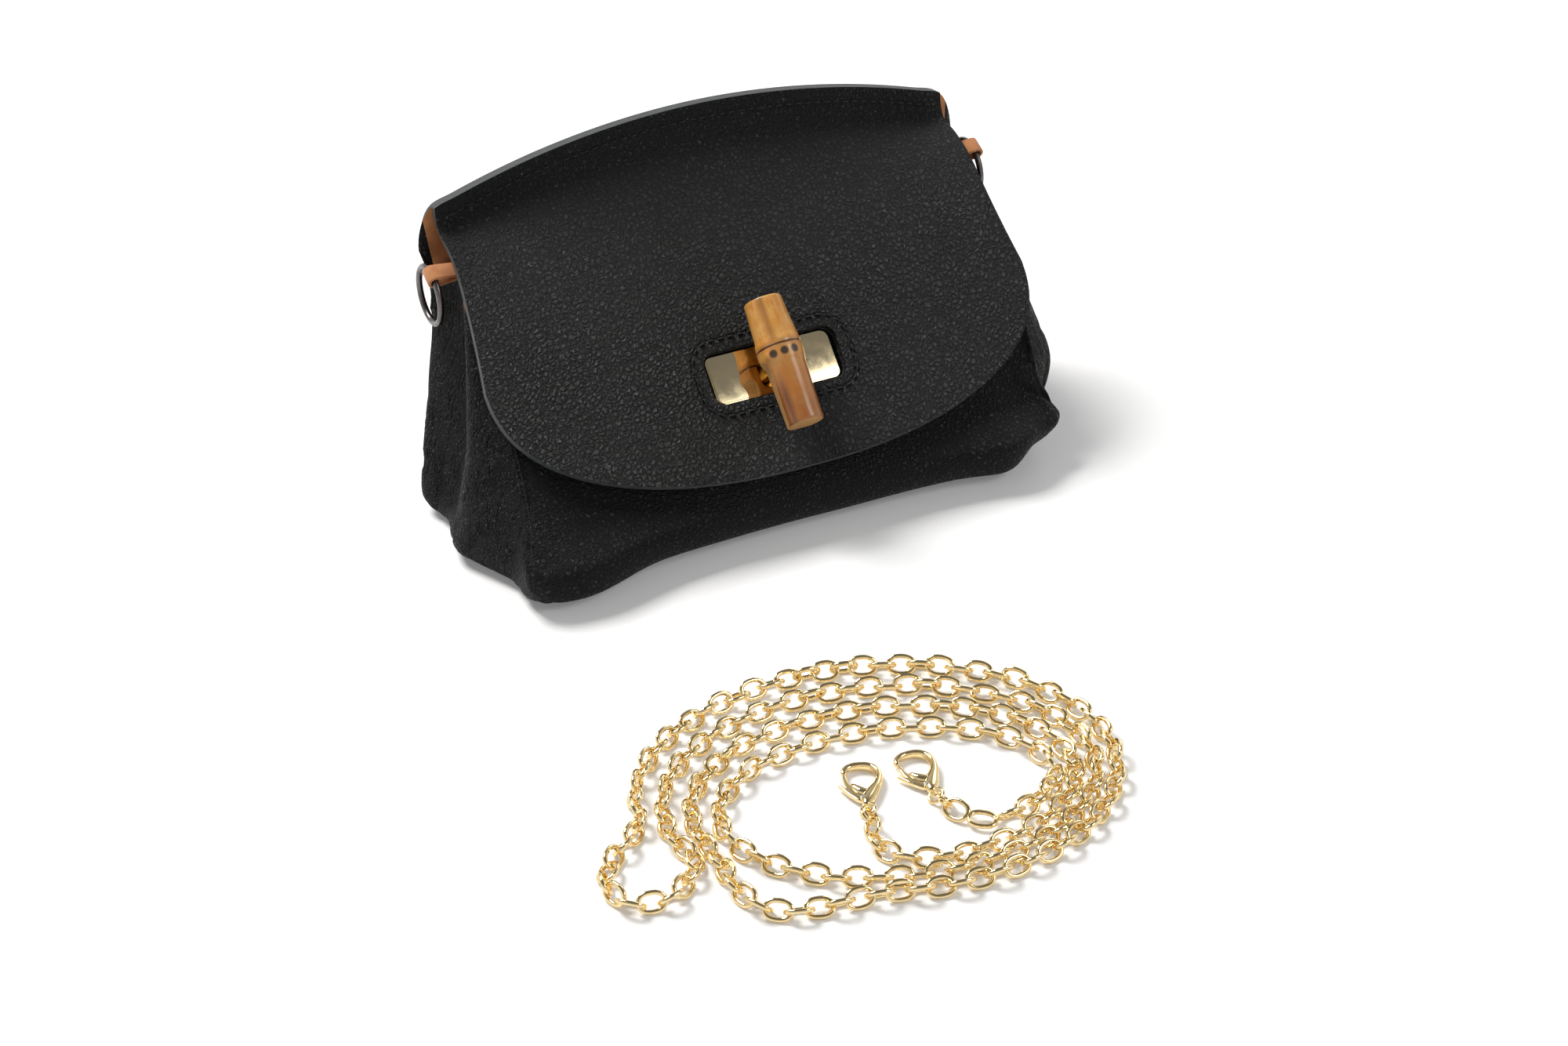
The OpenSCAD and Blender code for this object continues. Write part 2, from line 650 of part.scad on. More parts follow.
module at_hub() {
    translate([hub_x_share * clasp_l, hub_y_share * clasp_l, clasp_t / 2]) children();
}
module clasp_body(e) {
    outline = both_sides(curve(scaled(clasp_shares, clasp_l), 3));
    hole = both_sides(curve(scaled(hole_shares, clasp_l), 3));
    eye_z = eye_r * sin(link_roll) + eye_wire / 2;
    color(gold) at_clasp(e) {
        translate([0, 0, eye_z]) rotate([0, chain_ends[e][2], 0])
            rotate_extrude($fn = 64) translate([eye_r, 0]) circle(d = eye_wire, $fn = 24);
        difference() {
            linear_extrude(clasp_t) difference() {
                polygon(outline);
                polygon(hole);
                polygon(scaled(mouth_shares, clasp_l));
            }
            translate([0, 0, clasp_t / 2 - lever_t / 2 - lever_gap])
                linear_extrude(lever_t + 2 * lever_gap) polygon(scaled(slot_shares, clasp_l));
            at_hub() cylinder(d = pin_d, h = 2 * clasp_t, center = true, $fn = 32);
        }
    }
}
module clasp_lever(e) {
    color(gold) at_clasp(e) difference() {
        translate([0, 0, clasp_t / 2 - lever_t / 2]) linear_extrude(lever_t)
            polygon(scaled(lever_shares, clasp_l));
        at_hub() cylinder(d = pin_d + 2 * run_gap, h = 2 * lever_t, center = true, $fn = 32);
    }
}
module clasp_pin(e) {
    color("silver") at_clasp(e) at_hub() cylinder(d = pin_d, h = clasp_t, center = true, $fn = 32);
}
module split_ring_left() {
    split_ring(1);
}
module split_ring_right() {
    split_ring(0);
}
module clasp_body_left() {
    clasp_body(1);
}
module clasp_body_right() {
    clasp_body(0);
}
module clasp_lever_left() {
    clasp_lever(1);
}
module clasp_lever_right() {
    clasp_lever(0);
}
module clasp_pin_left() {
    clasp_pin(1);
}
module clasp_pin_right() {
    clasp_pin(0);
}

back_panel();
front_panel();
bottom_panel();
gusset_left();
gusset_right();
flap_root();
flap_panel();
slot_facing();
lock_plate();
lock_backing();
lock_spindle();
spindle_clip();
toggle_screw();
toggle_saddle();
bamboo_toggle();
tab_left();
tab_right();
ring_left();
ring_right();
divider();
card_pocket_tall();
card_pocket_short();
chain_links_1();
chain_links_2();
chain_links_3();
chain_links_4();
chain_links_5();
chain_links_6();
chain_links_7();
chain_links_8();
split_ring_left();
split_ring_right();
clasp_body_left();
clasp_body_right();
clasp_lever_left();
clasp_lever_right();
clasp_pin_left();
clasp_pin_right();
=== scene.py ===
# Small black leather shoulder wallet with a bamboo turn lock and a detached chain strap.
# Lengths in the dictionaries are millimetres, but for the studio's; meshes are made in metres,
# in the frame's own axes.
import math
import random

import bmesh
import bpy
import numpy as np
from mathutils import Matrix, Vector, noise


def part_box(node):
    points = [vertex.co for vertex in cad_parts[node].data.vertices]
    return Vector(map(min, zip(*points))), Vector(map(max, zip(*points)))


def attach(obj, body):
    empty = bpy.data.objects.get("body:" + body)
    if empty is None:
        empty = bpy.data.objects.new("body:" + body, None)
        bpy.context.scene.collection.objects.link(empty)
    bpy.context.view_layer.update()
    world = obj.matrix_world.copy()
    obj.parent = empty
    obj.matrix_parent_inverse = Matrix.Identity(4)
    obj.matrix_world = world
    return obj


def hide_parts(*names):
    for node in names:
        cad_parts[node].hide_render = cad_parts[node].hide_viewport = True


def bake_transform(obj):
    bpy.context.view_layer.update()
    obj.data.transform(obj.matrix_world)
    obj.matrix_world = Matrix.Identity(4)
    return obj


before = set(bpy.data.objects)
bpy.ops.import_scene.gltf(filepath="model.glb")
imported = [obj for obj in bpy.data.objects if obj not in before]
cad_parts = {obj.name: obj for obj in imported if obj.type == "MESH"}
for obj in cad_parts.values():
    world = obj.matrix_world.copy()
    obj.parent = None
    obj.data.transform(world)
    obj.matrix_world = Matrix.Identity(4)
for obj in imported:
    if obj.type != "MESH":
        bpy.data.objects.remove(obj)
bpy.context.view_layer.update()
mm = 0.001
rng = random.Random(7)

# Camera, light and floor, in metres
studio = {
    "lens": 85, "sensor": 36,
    "cameraPlace": (-0.3952, -0.8260, 0.5987),
    "cameraBack": (-0.3634, -0.7451, 0.5592),    # from the subject towards the camera
    "lampTarget": (0, -0.01, 0.04),
    "floorSize": 6.0,
    "floorColour": (0.86, 0.86, 0.86),
    "floorLift": 0.15,                           # how much paler the camera sees the floor
    "worldLight": 0.3,
    "zenith": 0.18,                              # how dark the studio's ceiling mirrors
    "wallTop": (0.25, 0.85),                     # where the walls turn into the ceiling
    "softboxes": [                               # name, place, size, power, colour
        ("keyLamp", (-0.42, 0.80, 1.20), 0.6, 25.0, (1.0, 0.99, 0.97)),
        ("plateLamp", (0.7065, -0.782, 0.9790), 0.5, 3.3, (1.0, 1.0, 0.99)),
        ("sideLamp", (1.0, 0.75, 0.8), 0.6, 2.0, (0.97, 0.985, 1.0)),
    ],
}


class Wiring:
    # Short ways to place and link the nodes of one tree
    def __init__(self, tree):
        self.tree = tree

    def put(self, node, name, value):
        if isinstance(value, bpy.types.NodeSocket):
            self.tree.links.new(value, node.inputs[name])
        else:
            node.inputs[name].default_value = value

    def feed(self, node, **inputs):
        for name, value in inputs.items():
            self.put(node, name.replace("_", " "), value)
        return node

    def node(self, kind, **inputs):
        return self.feed(self.tree.nodes.new("ShaderNode" + kind), **inputs)

    def math(self, operation, a, b=None, clamp=False):
        made = self.node("Math")
        made.operation = operation
        made.use_clamp = clamp
        self.put(made, 0, a)
        if b is not None:
            self.put(made, 1, b)
        return made.outputs[0]

    def vector(self, operation, a, b):
        made = self.node("VectorMath")
        made.operation = operation
        self.put(made, 0, a)
        self.put(made, "Scale" if operation == "SCALE" else 1, b)
        return made.outputs["Value" if operation == "DISTANCE" else "Vector"]

    def times(self, a, b):
        return self.math("MULTIPLY", a, b)

    def plus(self, a, b):
        return self.math("ADD", a, b)

    def minus(self, a, b):
        return self.math("SUBTRACT", a, b)

    def inMm(self, place):
        return self.vector("SCALE", place, 1 / mm)

    def range(self, value, low, high, toLow=0.0, toHigh=1.0, kind="SMOOTHSTEP"):
        made = self.node("MapRange")
        made.interpolation_type = kind
        self.feed(made, Value=value, From_Min=low, From_Max=high, To_Min=toLow, To_Max=toHigh)
        return made.outputs["Result"]

    def mix(self, factor, a, b, kind="RGBA"):
        made = self.node("Mix")
        made.data_type = kind
        first, result = (6, 2) if kind == "RGBA" else (2, 0)
        for place, value in ((0, factor), (first, a), (first + 1, b)):
            self.put(made, place, value)
        return made.outputs[result]

    def noise(self, vector, scale, detail=2.0, rough=0.5, output="Fac"):
        made = self.node("TexNoise", Vector=vector, Scale=scale, Detail=detail, Roughness=rough)
        return made.outputs[output]

    def cells(self, vector, scale):
        made = self.node("TexVoronoi")
        made.feature = "DISTANCE_TO_EDGE"
        return self.feed(made, Vector=vector, Scale=scale).outputs["Distance"]

    def bump(self, strength, distance, height):
        return self.node("Bump", Strength=strength, Distance=distance, Height=height).outputs[0]


def linked(item):
    bpy.context.scene.collection.objects.link(item)
    return item


def makeCamera(settings):
    data = bpy.data.cameras.new("photoCamera")
    data.lens = settings["lens"]
    data.sensor_width = settings["sensor"]
    camera = linked(bpy.data.objects.new("photoCamera", data))
    camera.location = settings["cameraPlace"]
    camera.rotation_mode = "QUATERNION"
    camera.rotation_quaternion = (-Vector(settings["cameraBack"])).to_track_quat("-Z", "Y")
    bpy.context.scene.camera = camera


def makeLamps(settings):
    for name, place, size, power, colour in settings["softboxes"]:
        data = bpy.data.lights.new(name, "AREA")
        data.shape = "SQUARE"
        data.size = size
        data.energy = power
        data.color = colour
        lamp = linked(bpy.data.objects.new(name, data))
        back = (Vector(place) - Vector(settings["lampTarget"])).normalized()
        across = (Vector((1, 0, 0)) - back * back.x).normalized()
        turn = Matrix((across, back.cross(across), back)).transposed()
        lamp.matrix_world = Matrix.Translation(place) @ turn.to_4x4()


def makeWorld(settings):
    # The camera sees white, mirrors see pale walls under a darker ceiling, and the rest gets even light
    world = bpy.data.worlds.new("studio")
    bpy.context.scene.world = world
    world.use_nodes = True
    world.node_tree.nodes.clear()
    w = Wiring(world.node_tree)
    split = w.node("SeparateXYZ", Vector=w.node("TexCoord").outputs["Generated"])
    walls = w.range(split.outputs["Z"], *settings["wallTop"], 1.0, settings["zenith"], kind="LINEAR")
    rays = w.node("LightPath").outputs
    seen = w.mix(rays["Is Glossy Ray"], settings["worldLight"], walls, kind="FLOAT")
    background = w.node("Background", Strength=w.math("MAXIMUM", rays["Is Camera Ray"], seen))
    w.node("OutputWorld", Surface=background.outputs[0])


def makeFloor(settings):
    half = settings["floorSize"] / 2
    mesh = bpy.data.meshes.new("floor")
    mesh.from_pydata([(-half, -half, 0), (half, -half, 0), (half, half, 0), (-half, half, 0)], [],
                     [(0, 1, 2, 3)])
    floor = linked(bpy.data.objects.new("floor", mesh))
    material = bpy.data.materials.new("floorPaper")
    material.use_nodes = True
    w = Wiring(material.node_tree)
    rays = w.node("LightPath").outputs
    seen = w.math("MAXIMUM", rays["Is Camera Ray"], rays["Is Glossy Ray"])
    w.feed(material.node_tree.nodes["Principled BSDF"], Base_Color=(*settings["floorColour"], 1),
           Roughness=0.9, Specular_IOR_Level=0.1, Emission_Color=(1, 1, 1, 1),
           Emission_Strength=w.times(seen, settings["floorLift"]))
    mesh.materials.append(material)


bpy.context.scene.view_settings.view_transform = "Standard"
makeCamera(studio)
makeLamps(studio)
makeWorld(studio)
makeFloor(studio)
print("studio made")


# Shader groups
def newGroup(name, inputs, outputs):
    # A group that takes a place and named values, and gives named numbers
    group = bpy.data.node_groups.new(name, "ShaderNodeTree")
    group.interface.new_socket("Place", in_out="INPUT", socket_type="NodeSocketVector")
    for label, value in inputs.items():
        kind = "Vector" if isinstance(value, tuple) else "Float"
        socket = group.interface.new_socket(label, in_out="INPUT", socket_type="NodeSocket" + kind)
        socket.default_value = value
    for label in outputs:
        group.interface.new_socket(label, in_out="OUTPUT", socket_type="NodeSocketFloat")
    given = group.nodes.new("NodeGroupInput").outputs
    return Wiring(group), given, group.nodes.new("NodeGroupOutput")


def makePebbleGroup():
    # Pebbled leather: round cells with sunk lines between them, over finer cells and slow changes
    w, given, result = newGroup("pebbledGrain", {"Cell Size": 1.1, "Coarseness": 0.6, "Seed": 0.0},
                                ("Height", "Lines", "Patches"))
    moved = w.vector("ADD", w.inMm(given["Place"]), w.vector("SCALE", (1.0, 0.6, 0.3), given["Seed"]))
    stirred = w.vector("ADD", moved, w.vector("SCALE", w.noise(moved, 0.9, output="Color"), 0.9))
    cell = w.math("DIVIDE", 1.0, given["Cell Size"])
    fine = w.cells(stirred, w.times(cell, 2.3))
    domes = w.range(w.cells(stirred, cell), 0.0, 0.34)
    patches = w.noise(moved, 0.055, 2.0, 0.55)
    amount = w.times(w.range(patches, 0.3, 0.7, 0.55, 1.0), given["Coarseness"])
    specks = w.times(w.range(fine, 0.0, 0.3), 0.38)
    pores = w.times(w.noise(moved, 3.6, 3.0, 0.6), 0.3)
    height = w.plus(w.plus(w.times(domes, amount), specks), pores)
    lines = w.minus(1.0, w.times(domes, w.range(fine, 0.0, 0.2, 0.6, 1.0)))
    w.feed(result, Height=height, Lines=lines, Patches=patches)
    return w.tree


def makeCreaseGroup():
    # Long thin folds that run mostly one way, where soft leather is gathered
    w, given, result = newGroup("leatherCreases", {"Stretch": (0.28, 0.28, 0.07), "Width": 0.045},
                                ("Height",))
    wander = w.noise(w.vector("MULTIPLY", w.inMm(given["Place"]), given["Stretch"]), 0.8, 3.0, 0.55)
    ridge = w.math("ABSOLUTE", w.minus(wander, 0.5))
    w.feed(result, Height=w.range(ridge, 0.0, given["Width"]))
    return w.tree


def makeFleshGroup():
    # The napped underside of leather: short soft fibres and blotches
    w, given, result = newGroup("suedeNap", {"Fibre": 1.0}, ("Height", "Blotch"))
    place = w.inMm(given["Place"])
    w.feed(result, Height=w.noise(place, w.math("DIVIDE", 2.6, given["Fibre"]), 5.0, 0.7),
           Blotch=w.noise(place, 0.12, 3.0, 0.55))
    return w.tree


def makeWearGroup():
    # Fine smudges and hair scratches on polished metal
    w, given, result = newGroup("metalSmudge", {"Scale": 1.0}, ("Smudge", "Scratch"))
    place = w.inMm(given["Place"])
    drawn = w.vector("MULTIPLY", place, (0.3, 9.0, 9.0))
    w.feed(result, Smudge=w.noise(place, w.times(0.35, given["Scale"]), 3.0, 0.6),
           Scratch=w.noise(drawn, 1.6))
    return w.tree


def makeGrooveGroup():
    # A sunk line at a given distance outside a rectangle with round corners, X and Y in millimetres
    w, given, result = newGroup(
        "sewnGroove", {"Half Length": 21.0, "Half Height": 8.0, "Corner": 4.0, "Offset": 3.4, "Width": 0.9},
        ("Groove",))
    split = w.node("SeparateXYZ", Vector=given["Place"])
    corner = given["Corner"]
    beyond = []
    for axis, half in (("X", "Half Length"), ("Y", "Half Height")):
        inner = w.minus(given[half], corner)
        beyond.append(w.minus(w.math("ABSOLUTE", split.outputs[axis]), inner))
    squares = [w.math("POWER", w.math("MAXIMUM", q, 0.0), 2.0) for q in beyond]
    outside = w.math("SQRT", w.plus(*squares))
    within = w.math("MINIMUM", w.math("MAXIMUM", *beyond), 0.0)
    away = w.minus(w.plus(outside, within), corner)
    off = w.math("ABSOLUTE", w.minus(away, given["Offset"]))
    w.feed(result, Groove=w.range(off, 0.0, given["Width"], 1.0, 0.0))
    return w.tree


groups = {
    "groove": makeGrooveGroup(),
    "pebble": makePebbleGroup(),
    "crease": makeCreaseGroup(),
    "flesh": makeFleshGroup(),
    "wear": makeWearGroup(),
}


# Materials
def startMaterial(name):
    material = bpy.data.materials.new(name)
    material.use_nodes = True
    w = Wiring(material.node_tree)
    shader = material.node_tree.nodes["Principled BSDF"]
    place = w.node("TexCoord").outputs["Object"]
    return material, w, shader, place


def useGroup(w, name, place, **values):
    made = w.node("Group")
    made.node_tree = groups[name]
    return w.feed(made, Place=place, **values).outputs


# Leather colours: dark in the grain lines as painted shade and in random patches, pale on the pebble tops as
# painted light, and the colour, amount and scale of the painted glints
leatherLook = {
    "dark": (0.0020, 0.0022, 0.0024, 1), "pale": (0.0125, 0.0135, 0.0142, 1),
    "paintedGlintColour": (0.110, 0.116, 0.118, 1), "paintedGlint": 0.9, "paintedGlintScale": 560.0, "specular": 0.34,
    "roughLow": 0.28, "roughHigh": 0.60, "bump": 1.0, "depth": 0.0013,    # depth in metres
}


def blackLeather(name, cell, coarse, seed, creases=0.0, fine=None, sewn=None, gloss=1.0):
    look = leatherLook
    material, w, shader, place = startMaterial(name)
    if fine:
        # Finer grain above a given height, where the leather is stretched over the ridge
        high = w.node("SeparateXYZ", Vector=place).outputs["Z"]
        coarse = w.range(high, fine[0] * mm, fine[1] * mm, coarse, coarse * 0.4)
    grain = useGroup(w, "pebble", place, Cell_Size=cell, Coarseness=coarse, Seed=seed)
    height, lines = grain["Height"], grain["Lines"]
    if creases:
        folds = useGroup(w, "crease", place)["Height"]
        height = w.plus(height, w.times(folds, creases))
    if sewn:
        # The stitched line round the slot pulls the leather in
        local = slopePlace(w, place)
        groove = useGroup(w, "groove", local, Offset=sewn)["Groove"]
        uneven = w.range(w.noise(local, 1.1, 2.0, 0.6), 0.3, 0.7, 1.2, 2.6)
        height = w.minus(height, w.times(groove, uneven))
    # Painted glints: random specks on the pebble tops made paler in the base colour as painted highlights,
    # and a little glossier
    paintedGlint = w.times(w.range(w.noise(place, look["paintedGlintScale"], 2.0, 0.6), 0.47, 0.62),
                     w.range(lines, 0.0, 0.35, 1.0, 0.0))
    # Painted shade in the sunk grain lines and painted light on the pebble tops: darker between the pebbles,
    # paler on them
    tint = w.mix(w.range(lines, 0.1, 0.8), look["pale"], look["dark"])
    tint = w.mix(w.times(paintedGlint, look["paintedGlint"]), tint, look["paintedGlintColour"])
    tint = w.mix(w.range(grain["Patches"], 0.35, 0.7, 0.0, 0.35), tint, look["dark"])
    rough = w.range(lines, 0.0, 0.8, look["roughLow"], look["roughHigh"])
    rough = w.minus(rough, w.times(paintedGlint, 0.1))
    w.feed(shader, Base_Color=tint, Roughness=rough, Specular_IOR_Level=look["specular"] * gloss,
           Normal=w.bump(look["bump"], look["depth"], height))
    return material


def slopePlace(w, place):
    # Place in the lock's own axes, in millimetres: X across, Y up the flap, Z out of it
    mapping = w.node("Mapping", Vector=place)
    mapping.vector_type = "TEXTURE"
    mapping.inputs["Location"].default_value = (0, -pouch["lockFront"] * mm, pouch["lockZ"] * mm)
    mapping.inputs["Rotation"].default_value = (slopeRad, 0, 0)
    mapping.inputs["Scale"].default_value = (mm, mm, mm)
    return mapping.outputs[0]


def suedeMaterial(name, colour, deep):
    material, w, shader, place = startMaterial(name)
    nap = useGroup(w, "flesh", place, Fibre=1.0)
    base = w.mix(w.range(nap["Blotch"], 0.35, 0.7), (*colour, 1), (*deep, 1))
    fibres = w.range(nap["Height"], 0.3, 0.7, 0.0, 0.35)
    w.feed(shader, Base_Color=w.mix(fibres, base, (*deep, 1)), Sheen_Weight=0.25,
           Roughness=w.range(nap["Height"], 0.2, 0.8, 0.8, 0.95), Normal=w.bump(0.5, 0.00015, nap["Height"]))
    return material


def edgePaintMaterial():
    # Painted leather edge: satin dark grey, slightly uneven
    material, w, shader, place = startMaterial("paintedEdge")
    smudge = useGroup(w, "wear", place, Scale=1.4)["Smudge"]
    tint = w.mix(w.range(smudge, 0.3, 0.7), (0.050, 0.056, 0.058, 1), (0.080, 0.088, 0.091, 1))
    w.feed(shader, Base_Color=tint, Roughness=w.range(smudge, 0.3, 0.7, 0.5, 0.7),
           Specular_IOR_Level=0.25, Normal=w.bump(0.25, 0.0001, smudge))
    return material


def metalMaterial(name, colour, deep, roughLow, roughHigh, scratched=0.04):
    material, w, shader, place = startMaterial(name)
    wear = useGroup(w, "wear", place, Scale=1.0)
    tint = w.mix(w.range(wear["Smudge"], 0.35, 0.7), (*colour, 1), (*deep, 1))
    w.feed(shader, Base_Color=tint, Roughness=w.range(wear["Smudge"], 0.3, 0.75, roughLow, roughHigh),
           Metallic=1.0, Normal=w.bump(scratched, 0.00005, wear["Scratch"]))
    return material


def threadMaterial():
    material, w, shader, place = startMaterial("blackThread")
    nap = useGroup(w, "flesh", place, Fibre=0.4)["Height"]
    w.feed(shader, Base_Color=w.mix(nap, (0.004, 0.004, 0.004, 1), (0.012, 0.012, 0.013, 1)),
           Roughness=w.range(nap, 0.3, 0.7, 0.6, 0.8), Normal=w.bump(0.5, 0.00008, nap))
    return material


materials = {
    "body": blackLeather("bodyLeather", cell=1.5, coarse=0.95, seed=11.0, gloss=0.65),
    "gusset": blackLeather("gussetLeather", cell=1.0, coarse=0.45, creases=1.3, seed=23.0, gloss=0.65),
    "suede": suedeMaterial("tanSuede", (0.60, 0.255, 0.095), (0.40, 0.15, 0.05)),
    "rawEdge": suedeMaterial("rawTanEdge", (0.52, 0.21, 0.085), (0.30, 0.12, 0.05)),
    "edge": edgePaintMaterial(),
    "gold": metalMaterial("paleGold", (0.95, 0.76, 0.42), (0.90, 0.68, 0.34), 0.06, 0.13),
    "plateGold": metalMaterial("mirrorGold", (0.93, 0.78, 0.50), (0.91, 0.75, 0.46), 0.03, 0.05, 0.004),
    "gunmetal": metalMaterial("darkRing", (0.16, 0.15, 0.15), (0.11, 0.10, 0.10), 0.22, 0.34, 0.14),
    "steel": metalMaterial("lockSteel", (0.62, 0.62, 0.60), (0.52, 0.52, 0.50), 0.25, 0.4, 0.34),
    "thread": threadMaterial(),
}
print("materials made")


# Mesh helpers
def newPiece(name, verts, faces, slots, faceSlots=None):
    # verts in millimetres
    mesh = bpy.data.meshes.new(name)
    mesh.from_pydata((np.asarray(verts, float) * mm).tolist(), [], [tuple(int(i) for i in f) for f in faces])
    for key in slots:
        mesh.materials.append(materials[key])
    if faceSlots is not None:
        mesh.polygons.foreach_set("material_index", np.asarray(faceSlots, np.int32))
    mesh.polygons.foreach_set("use_smooth", np.full(len(mesh.polygons), True))
    mesh.update()
    return linked(bpy.data.objects.new(name, mesh))


def roundEdges(piece, width, segments, angle, material=-1):
    # Rounds the edges sharper than the angle, then makes the modifiers' result the piece's mesh
    bevel = piece.modifiers.new("roundedEdges", "BEVEL")
    bevel.width = width * mm
    bevel.segments = segments
    bevel.limit_method = "ANGLE"
    bevel.angle_limit = math.radians(angle)
    bevel.use_clamp_overlap = True
    bevel.miter_outer = "MITER_ARC"
    bevel.material = material
    graph = bpy.context.evaluated_depsgraph_get()
    made = bpy.data.meshes.new_from_object(piece.evaluated_get(graph))
    old = piece.data
    piece.modifiers.clear()
    piece.data = made
    bpy.data.meshes.remove(old)
    made.name = piece.name


def fixNormals(piece):
    work = bmesh.new()
    work.from_mesh(piece.data)
    bmesh.ops.recalc_face_normals(work, faces=work.faces)
    work.to_mesh(piece.data)
    work.free()


def slopeFrame():
    # X along the slot, Y up the flap, Z out of it, at the middle of the lock
    return np.array(Matrix.Translation((0, -pouch["lockFront"], pouch["lockZ"]))
                    @ Matrix.Rotation(slopeRad, 4, "X"))


def placed(turn, points):
    return np.asarray(points, float) @ turn[:3, :3].T + turn[:3, 3]


def fromSlope(points):
    return placed(slopeFrame(), points)


def unit(vectors):
    # Each row at length 1
    return vectors / np.linalg.norm(vectors, axis=1)[:, None]


def smoothCurve(points, steps, closed=False):
    # Curve through the points, eased by the lengths of the neighbouring spans
    points = np.asarray(points, float)
    count = len(points)

    def at(i):
        return points[i % count] if closed else points[min(max(i, 0), count - 1)]

    def tangent(p, q, r):
        a, b = np.linalg.norm(q - p), np.linalg.norm(r - q)
        if a == 0:
            return (r - q) / b
        if b == 0:
            return (q - p) / a
        return ((q - p) / a * b + (r - q) / b * a) / (a + b)

    made = []
    for i in range(count if closed else count - 1):
        p, q, r, s = at(i - 1), at(i), at(i + 1), at(i + 2)
        span = np.linalg.norm(r - q)
        before, after = tangent(p, q, r), tangent(q, r, s)
        for k in range(steps):
            t = k / steps
            u = 3 * t * t - 2 * t ** 3
            made.append(q + (r - q) * u + span * (t * (1 - t) ** 2 * before - t * t * (1 - t) * after))
    if not closed:
        made.append(points[-1])
    return np.array(made)


def gridFaces(rows, cols, closed=False, start=0, flip=False):
    faces = []
    for r in range(rows - 1):
        for c in range(cols if closed else cols - 1):
            a, b = start + r * cols + c, start + r * cols + (c + 1) % cols
            face = (a, b, b + cols, a + cols)
            faces.append(face[::-1] if flip else face)
    return faces


def loftFaces(rows, sides, ring=False):
    # Faces round rows of points: the ends are capped, or joined to each other in a ring
    faces = gridFaces(rows, sides, closed=True)
    last = (rows - 1) * sides
    if ring:
        return faces + [(last + k, last + (k + 1) % sides, (k + 1) % sides, k) for k in range(sides)]
    return faces + [tuple(reversed(range(sides))), tuple(range(last, last + sides))]


def sheetFaces(rows, cols, flip=False):
    # A sheet as two grids, one behind the other: its two sides, then pairs of faces along
    # the bottom and top edges, then pairs up the left and right edges
    shift = rows * cols

    def edge(a, b):
        if flip:
            a, b = b, a
        return a, b, shift + b, shift + a

    faces = gridFaces(rows, cols, flip=flip) + gridFaces(rows, cols, start=shift, flip=not flip)
    top = shift - cols
    for c in range(cols - 1):
        faces += [edge(c + 1, c), edge(top + c, top + c + 1)]
    for r in range(rows - 1):
        a, b = r * cols, (r + 1) * cols - 1
        faces += [edge(a, a + cols), edge(b + cols, b)]
    return faces


def tube(path, radii, sides=8, closed=False):
    # Rings of points round a path, with even turning
    path = np.asarray(path, float)
    count = len(path)
    radii = np.broadcast_to(np.asarray(radii, float), (count,))
    ahead = np.roll(path, -1, 0) - np.roll(path, 1, 0)
    if not closed:
        ahead[0], ahead[-1] = path[1] - path[0], path[-1] - path[-2]
    ahead = unit(ahead)
    verts = []
    side = np.cross(ahead[0], (0.0, 0.0, 1.0))
    if np.linalg.norm(side) < 0.1:
        side = np.cross(ahead[0], (0.0, 1.0, 0.0))
    for i in range(count):
        side = side - ahead[i] * (side @ ahead[i])
        side /= np.linalg.norm(side)
        up = np.cross(side, ahead[i])
        for k in range(sides):
            a = 2 * math.pi * k / sides
            verts.append(path[i] + radii[i] * (math.cos(a) * side + math.sin(a) * up))
    return np.array(verts), loftFaces(count, sides, ring=closed)


def joined(parts):
    verts, faces, offset = [], [], 0
    for v, f in parts:
        verts.append(v)
        faces += [tuple(i + offset for i in face) for face in f]
        offset += len(v)
    return np.concatenate(verts), faces


def revolve(profile, sides):
    # (radius, height) pairs turned about Z
    turns = [2 * math.pi * k / sides for k in range(sides)]
    verts = np.array([(r * math.cos(a), r * math.sin(a), z) for r, z in profile for a in turns])
    return verts, loftFaces(len(profile), sides)


# Pouch leather
pouch = {
    "width": 190, "depth": 92, "ridgeHeight": 98.5, "ridgeWidth": 162, "ridgeDrop": 13.5,
    "seam": 7.5, "wall": 1.6, "bellyZ": 13, "flapThick": 2.2, "flapWidth": 171, "flapLength": 104.5,
    "flapSquare": 2.3, "facingThick": 1.0, "lieGap": 0.4, "ridgeBow": 2, "backTilt": 10.3,
    "seamGap": 0.1, "ridgeBack": 0.543, "fade": 24, "lockZ": 42, "lockFront": 10,
    "cornerStart": 0.574, "chestDrop": 38,
    # Heights of the low, waist and chest stations as shares of the span that they stand in
    "lowShare": 0.27, "backWaist": 0.5, "sideWaist": 0.37, "sideChest": 0.72,
    "aroundSteps": 12, "riseSteps": 9,
}
pouch["rootZ"] = pouch["ridgeHeight"] - pouch["seam"]
tiltRad = math.radians(pouch["backTilt"])
pouch["rootY"] = (pouch["ridgeBack"] * pouch["depth"]
                  - (pouch["wall"] + pouch["seamGap"] + pouch["flapThick"]) / math.cos(tiltRad)
                  - pouch["seam"] * math.tan(tiltRad))
pouch["slope"] = math.degrees(math.atan2(
    pouch["rootZ"] - pouch["lockZ"], pouch["rootY"] + pouch["lockFront"]))
slopeRad = math.radians(pouch["slope"])
halfWidth = pouch["width"] / 2
ridgeHalf = pouch["ridgeWidth"] / 2

